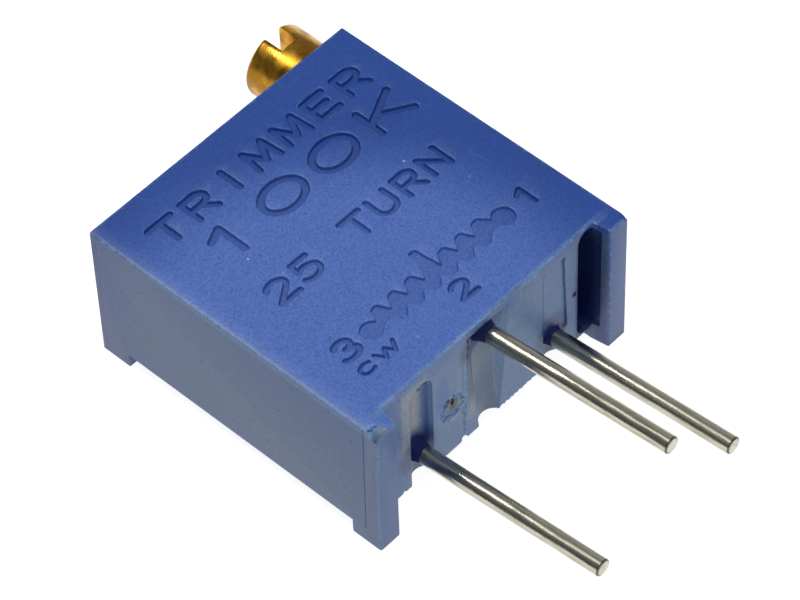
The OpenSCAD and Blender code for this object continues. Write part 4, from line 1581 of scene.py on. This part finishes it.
    def root_shade_and_resin(self) -> list[Patch]:
        """Dark resin and painted shade round the roots of the terminals, and painted shade down the left of
        the middle channel.

        Returns:
            Its patches, which the potting shares.
        """
        wall = self.wall
        return [
            Patch(Tone.NAVY, (-2.72, wall + 0.1, 1.70), (0.92, 0.5, 0.80), 0.60, 0.30),
            Patch(Tone.NAVY, (-2.58, wall + 0.2, 1.62), (0.46, 0.5, 0.50), 0.95, 0.24),
            Patch(Tone.NAVY, (2.46, wall + 0.1, 1.74), (0.84, 0.5, 0.74), 0.60, 0.30),
            Patch(Tone.NAVY, (2.48, wall + 0.2, 1.66), (0.50, 0.5, 0.48), 0.95, 0.30),
            Patch(Tone.NAVY, (-0.32, wall + 0.1, 3.98), (0.95, 0.5, 0.70), 0.85, 0.30),
            Patch(Tone.NAVY, (-0.64, wall + 0.15, 3.2), (0.20, 0.35, 1.6), 0.70, 0.25, False),
            Patch(Tone.NAVY, (-0.14, wall + 0.2, 4.24), (0.54, 0.5, 0.46), 0.95, 0.30),
            Patch(Tone.WORN_AND_PAINTED_LIGHT, (0.82, wall, 3.55), (0.34, 0.06, 0.13), 0.75, 0.46),
            Patch(Tone.SOOT_AND_PAINTED_SHADE, (-2.22, wall + 0.2, 3.95), (0.05, 0.2, 0.12), 0.7, 0.30),
            Patch(Tone.SOOT_AND_PAINTED_SHADE, (-2.36, wall + 0.3, 3.72), (0.07, 0.2, 0.10), 0.6, 0.35),
        ]

    def side_marks(self) -> list[Patch]:
        """Dirt and knocks on the near side and on the marked face, and painted shade along the near side's
        bottom.

        Returns:
            Their patches.
        """
        x, y, z = self.low.x, self.low.y, self.high.z
        dark = ((3.4, 2.98), (5.85, 4.45), (6.7, 3.83), (9.05, 3.12), (8.75, 3.02), (8.7, 2.15),
                (3.9, 1.3), (4.55, 1.2), (5.15, 1.05), (4.5, 1.6), (9.6, 4.4), (0.9, 3.9), (1.6, 4.5),
                (2.3, 3.6), (2.9, 4.3), (7.6, 4.4), (8.2, 3.8), (1.3, 2.0), (6.2, 2.6))
        pale = (1.1, 2.2, 2.5, 3.6, 4.0, 5.5, 6.2, 7.8)
        made = [Patch(Tone.SOOT_AND_PAINTED_SHADE, (x, y + a, b), (0.05, 0.055, 0.05), 0.75, 0.30) for a, b in dark]
        made += [Patch(Tone.DUST_AND_PAINTED_LIGHT, (x, y + a, z), (0.04, 0.12, 0.04), 0.35, 0.46) for a in pale]
        made += [
            # Painted shade: the near side bluer and darker along its bottom.
            Patch(Tone.BRIGHT_BLUE_AND_PAINTED_LIGHT, (x, y + 5.0, 0.4), (0.05, 5.2, 0.55), 0.25, 0.36, False),
            Patch(Tone.NAVY, (x, y + 9.92, 2.4), (0.05, 0.16, 2.6), 0.35, 0.25, False),
            Patch(Tone.DUST_AND_PAINTED_LIGHT, (2.2, y + 8.18, z), (0.16, 0.12, 0.1), 0.9, 0.25),
            Patch(Tone.OCHRE, (-2.4, y + 6.2, z), (0.06, 0.06, 0.1), 0.7, 0.20),
            Patch(Tone.DUST_AND_PAINTED_LIGHT, (-2.7, y + 6.35, z), (0.045, 0.045, 0.1), 0.8, 0.20),
            Patch(Tone.DUST_AND_PAINTED_LIGHT, (2.37, y + 5.6, z), (0.045, 0.045, 0.1), 0.8, 0.20),
            Patch(Tone.DUST_AND_PAINTED_LIGHT, (0.27, y + 3.20, z), (0.07, 0.08, 0.1), 0.95, 0.20),
            Patch(Tone.SOOT_AND_PAINTED_SHADE, (0.33, y + 3.05, z), (0.05, 0.07, 0.1), 0.7, 0.20),
            Patch(Tone.DUST_AND_PAINTED_LIGHT, (-1.7, y + 1.4, z), (0.03, 0.10, 0.1), 0.25, 0.35),
            Patch(Tone.DUST_AND_PAINTED_LIGHT, (3.05, y + 1.1, z), (0.02, 0.22, 0.1), 0.15, 0.45),
        ]
        return made


@dataclass
class Terminals:
    """The three tinned wires and the resin that climbs their roots, whose navy is partly painted shade."""

    tip_edge: float = 0.05
    tip_depth: float = 0.1
    seal_r: float = 0.42
    seal_in: float = 0.34
    seal_out: float = 0.16
    seal_hug: float = 0.96
    seal_curve: float = 1.6
    seal_rough: float = 0.14
    seal_bumps: float = 1.4
    pin_r: float = 0.255
    row_step: float = 2.54
    raised: int = 2

    def build(self) -> None:
        """Builds the wires with rounded tips, and their seals."""
        wire = TinnedWire().build("tinned_wire")
        wall = box_mm("housing")[0].y + Housing.standoff
        # The seals' fronts take the navy: dark resin that also paints the shade in the holes round the
        # roots.
        resin = CastEpoxy(front_colour_and_light=Tone.NAVY.value, roughness=0.45).build("root_resin_and_shade")
        for number in (1, 2, 3):
            node = f"terminal_pin_{number}"
            low, high = box_mm(node)
            pin = Workpiece.like_node(f"wire_{number}", node)
            tip_y = low.y + self.tip_depth
            pin.soften(lambda edge, y=tip_y: all(v.co.y < y for v in edge.verts), self.tip_edge, 3, 1.0)
            pin.place(Body.CASE, Slot.TINNED_WIRE, wire, [node], crease=40.0)
            root = Vector((low.x + self.pin_r, wall, self.root_z(number, low, high)))
            seal = Workpiece(f"root_seal_{number}", self.seal(root, number * 1.7))
            seal.place(Body.CASE, Slot.BLUE_EPOXY, resin, crease=60.0)

    def root_z(self, number: int, low: Vector, high: Vector) -> float:
        """Height of a terminal's axis where it leaves the wall.

        Args:
            number: the terminal's number.
            low: the lowest corner of its box.
            high: the highest corner of its box.

        Returns:
            The height.
        """
        if number == self.raised:
            lean = high.z - low.z - 2 * self.pin_r
            return high.z - self.pin_r - lean + self.row_step
        return low.z + self.pin_r

    def seal(self, root: Vector, seed: float) -> bmesh.types.BMesh:
        """A mound of resin round a root.

        Args:
            root: where the terminal's axis meets the wall.
            seed: where the noise is read.

        Returns:
            The closed mesh.
        """
        rings = []
        steps, around = 8, 36
        for n in range(steps + 1):
            share = n / steps
            y = root.y + self.seal_in - (self.seal_in + self.seal_out) * share
            reach = self.pin_r * self.seal_hug + (self.seal_r - self.pin_r) * (1 - share) ** self.seal_curve
            ring = []
            for m in range(around):
                turn = math.tau * m / around
                way = Vector((math.cos(turn), 0.0, math.sin(turn)))
                read_at = way * self.seal_bumps + Vector((seed, share * 2.0, seed))
                push = 1.0 + self.seal_rough * noise.noise(read_at) * (1 - share)
                ring.append(Vector((root.x, y, root.z)) + way * reach * push)
            rings.append(ring)
        return loft(rings)


@dataclass
class AdjustmentScrew:
    """The slotted brass screw."""

    head_edge: float = 0.05
    reach_in: float = 0.2

    def build(self) -> None:
        """Builds the screw with its head's edges broken."""
        brass = TurnedBrass().build("turned_brass")
        start = box_mm("housing")[1].y - self.reach_in
        screw = Workpiece.like_node("brass_screw", "adjustment_screw")
        screw.soften(lambda edge: all(v.co.y > start for v in edge.verts) and edge.is_convex,
                     self.head_edge, 2, 1.0)
        screw.place(Body.SCREW, Slot.BRASS, brass, ["adjustment_screw"], crease=35.0)


@dataclass
class Inside:
    """The sealed parts, which keep their packed forms; FINISHES says which solid each is made of."""

    FINISHES = (
        ("black_rubber", PlainSolid((0.02, 0.02, 0.02), (0.05, 0.05, 0.05), 0.45), ("screw_o_ring",)),
        ("spring_steel", PlainSolid((0.45, 0.46, 0.48), (0.3, 0.3, 0.31), 0.3, 1.0), ("screw_retainer",)),
        ("pale_plastic", PlainSolid((0.80, 0.77, 0.66), (0.70, 0.66, 0.54), 0.4), ("worm_wheel",)),
        ("contact_alloy", PlainSolid((0.70, 0.58, 0.32), (0.5, 0.4, 0.2), 0.22, 1.0), ("wiper_contact",)),
        ("alumina", PlainSolid((0.82, 0.81, 0.76), (0.72, 0.71, 0.66), 0.7), ("ceramic_substrate",)),
        ("cermet", PlainSolid((0.03, 0.03, 0.03), (0.07, 0.07, 0.065), 0.6), ("resistive_track",)),
        ("silver_film", PlainSolid((0.62, 0.61, 0.57), (0.48, 0.47, 0.43), 0.42, 1.0),
         ("collector_ring", "track_pad_1", "track_pad_3")),
        ("solder", PlainSolid((0.6, 0.6, 0.6), (0.42, 0.42, 0.43), 0.2, 1.0, 3.0, 0.03),
         ("solder_joint_1", "solder_joint_2", "solder_joint_3")),
    )

    def build(self) -> None:
        """Gives each part its finish."""
        dress_node("potting", CastEpoxy().build("cast_epoxy", Housing().root_shade_and_resin()))
        for name, finish, nodes in self.FINISHES:
            material = finish.build(name)
            for node in nodes:
                dress_node(node, material)


# ---------------------------------------------------------------- studio


WHITE = (1.0, 1.0, 1.0)


@dataclass
class Lamp:
    """A square soft lamp: the way to it, its distance, its size and its power."""

    name: str
    way: Triple
    distance: float
    size: float
    power: float

    def build(self, aim: Vector) -> None:
        """Hangs the lamp and turns it to the aim.

        Args:
            aim: the point that it faces, in metres.
        """
        data = bpy.data.lights.new(self.name, "AREA")
        data.size = self.size * MM
        data.energy = self.power
        data.color = WHITE
        made = bpy.data.objects.new(self.name, data)
        bpy.context.scene.collection.objects.link(made)
        back = Vector(self.way).normalized()
        made.location = aim + back * self.distance * MM
        made.rotation_mode = "QUATERNION"
        made.rotation_quaternion = (-back).to_track_quat("-Z", "Y")


@dataclass
class Studio:
    """A white floor, soft lamps and the camera."""

    floor_half: float = 1500.0
    floor_glow: float = 0.90
    floor_grey: float = 0.42
    horizon: float = 0.08
    zenith: float = 0.14
    bright_side: float = 0.34
    sky_rise: Point = (0.10, 0.85)
    side_rise: Point = (0.10, 0.95)
    aim: Triple = (0.0, 0.0, 2.0)
    lamps: tuple[Lamp, ...] = (
        Lamp("key_lamp", (-0.17, 0.44, 0.88), 150.0, 24.0, 0.075),
        Lamp("soft_lamp", (-0.10, -0.20, 0.97), 240.0, 160.0, 0.13),
        Lamp("front_lamp", (-0.25, -0.92, 0.30), 260.0, 200.0, 0.12),
    )
    eye: Triple = (-47.953, -46.129, 85.379)
    look: Triple = (0.432, 0.941, 2.073)
    roll: float = -2.198
    lens: float = 184.87
    sensor: float = 36.0
    nearest: float = 1.0
    farthest: float = 10000.0

    def floor(self) -> None:
        """Lays the floor, which shows white to the eye and to polished surfaces."""
        size = self.floor_half * MM
        data = bpy.data.meshes.new("floor")
        square = [(-size, -size, 0), (size, -size, 0), (size, size, 0), (-size, size, 0)]
        data.from_pydata(square, [], [(0, 1, 2, 3)])
        material = bpy.data.materials.new("floor_white")
        material.use_nodes = True
        material.node_tree.nodes.clear()
        sheet = Sheet(material.node_tree)
        path = sheet.add("LightPath").outputs
        seen = sheet.maths("MAXIMUM", path["Is Camera Ray"], path["Is Glossy Ray"])
        seen = sheet.maths("MAXIMUM", seen, path["Is Transmission Ray"])
        matt = sheet.add("BsdfDiffuse", Color=(self.floor_grey,) * 3)
        strength = sheet.maths("MULTIPLY", seen, self.floor_glow)
        glow = sheet.add("Emission", Color=WHITE, Strength=strength)
        both = sheet.add("AddShader")
        sheet.put(both.inputs[0], matt.outputs[0])
        sheet.put(both.inputs[1], glow.outputs[0])
        under = sheet.add("NewGeometry").outputs["Backfacing"]
        clear = sheet.add("BsdfTransparent")
        sides = sheet.add("MixShader")
        sheet.put(sides.inputs[0], under)
        sheet.put(sides.inputs[1], both.outputs[0])
        sheet.put(sides.inputs[2], clear.outputs[0])
        sheet.put(sheet.add("OutputMaterial").inputs["Surface"], sides.outputs[0])
        data.materials.append(material)
        made = bpy.data.objects.new("floor", data)
        bpy.context.scene.collection.objects.link(made)

    def surroundings(self) -> None:
        """A room that is dim at the horizon, brighter overhead and on one side."""
        world = bpy.data.worlds.new("room")
        bpy.context.scene.world = world
        world.use_nodes = True
        ground = world.node_tree.nodes["Background"]
        sheet = Sheet(world.node_tree)
        way = sheet.add("SeparateXYZ", Vector=sheet.add("TexCoord").outputs["Generated"])
        up = sheet.remap(way.outputs["Z"], *self.sky_rise, self.horizon, self.zenith)
        side = sheet.remap(way.outputs["X"], *self.side_rise, 0.0, self.bright_side)
        sheet.put(ground.inputs["Color"], WHITE)
        sheet.put(ground.inputs["Strength"], sheet.maths("ADD", up, side))

    def hang_lamps(self) -> None:
        """Hangs the key lamp behind the part, where it lights up the wires' lengths, and the fills."""
        for lamp in self.lamps:
            lamp.build(Vector(self.aim) * MM)

    def camera(self) -> None:
        """Sets the camera up at its viewing angle."""
        data = bpy.data.cameras.new("camera")
        data.lens = self.lens
        data.sensor_width = self.sensor
        data.clip_start = self.nearest * MM
        data.clip_end = self.farthest * MM
        made = bpy.data.objects.new("camera", data)
        bpy.context.scene.collection.objects.link(made)
        ahead = (Vector(self.look) - Vector(self.eye)).normalized()
        level = ahead.cross(Vector((0.0, 0.0, 1.0))).normalized()
        right = Matrix.Rotation(math.radians(self.roll), 3, -ahead) @ level
        turn = Matrix((right, right.cross(ahead), -ahead)).transposed().to_4x4()
        made.matrix_world = Matrix.Translation(Vector(self.eye) * MM) @ turn
        bpy.context.scene.camera = made

    def build(self) -> None:
        """Sets up the whole studio."""
        self.floor()
        self.surroundings()
        self.hang_lamps()
        self.camera()
        bpy.context.scene.view_settings.view_transform = "Standard"


def main() -> None:
    """Builds every sub-assembly."""
    logging.basicConfig(level=logging.INFO, format="%(name)s: %(message)s", stream=sys.stdout)
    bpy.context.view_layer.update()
    for part in (Housing(), Terminals(), AdjustmentScrew(), Inside(), Studio()):
        part.build()
        LOG.info("%s built", type(part).__name__)


if __name__ == "__main__":
    main()
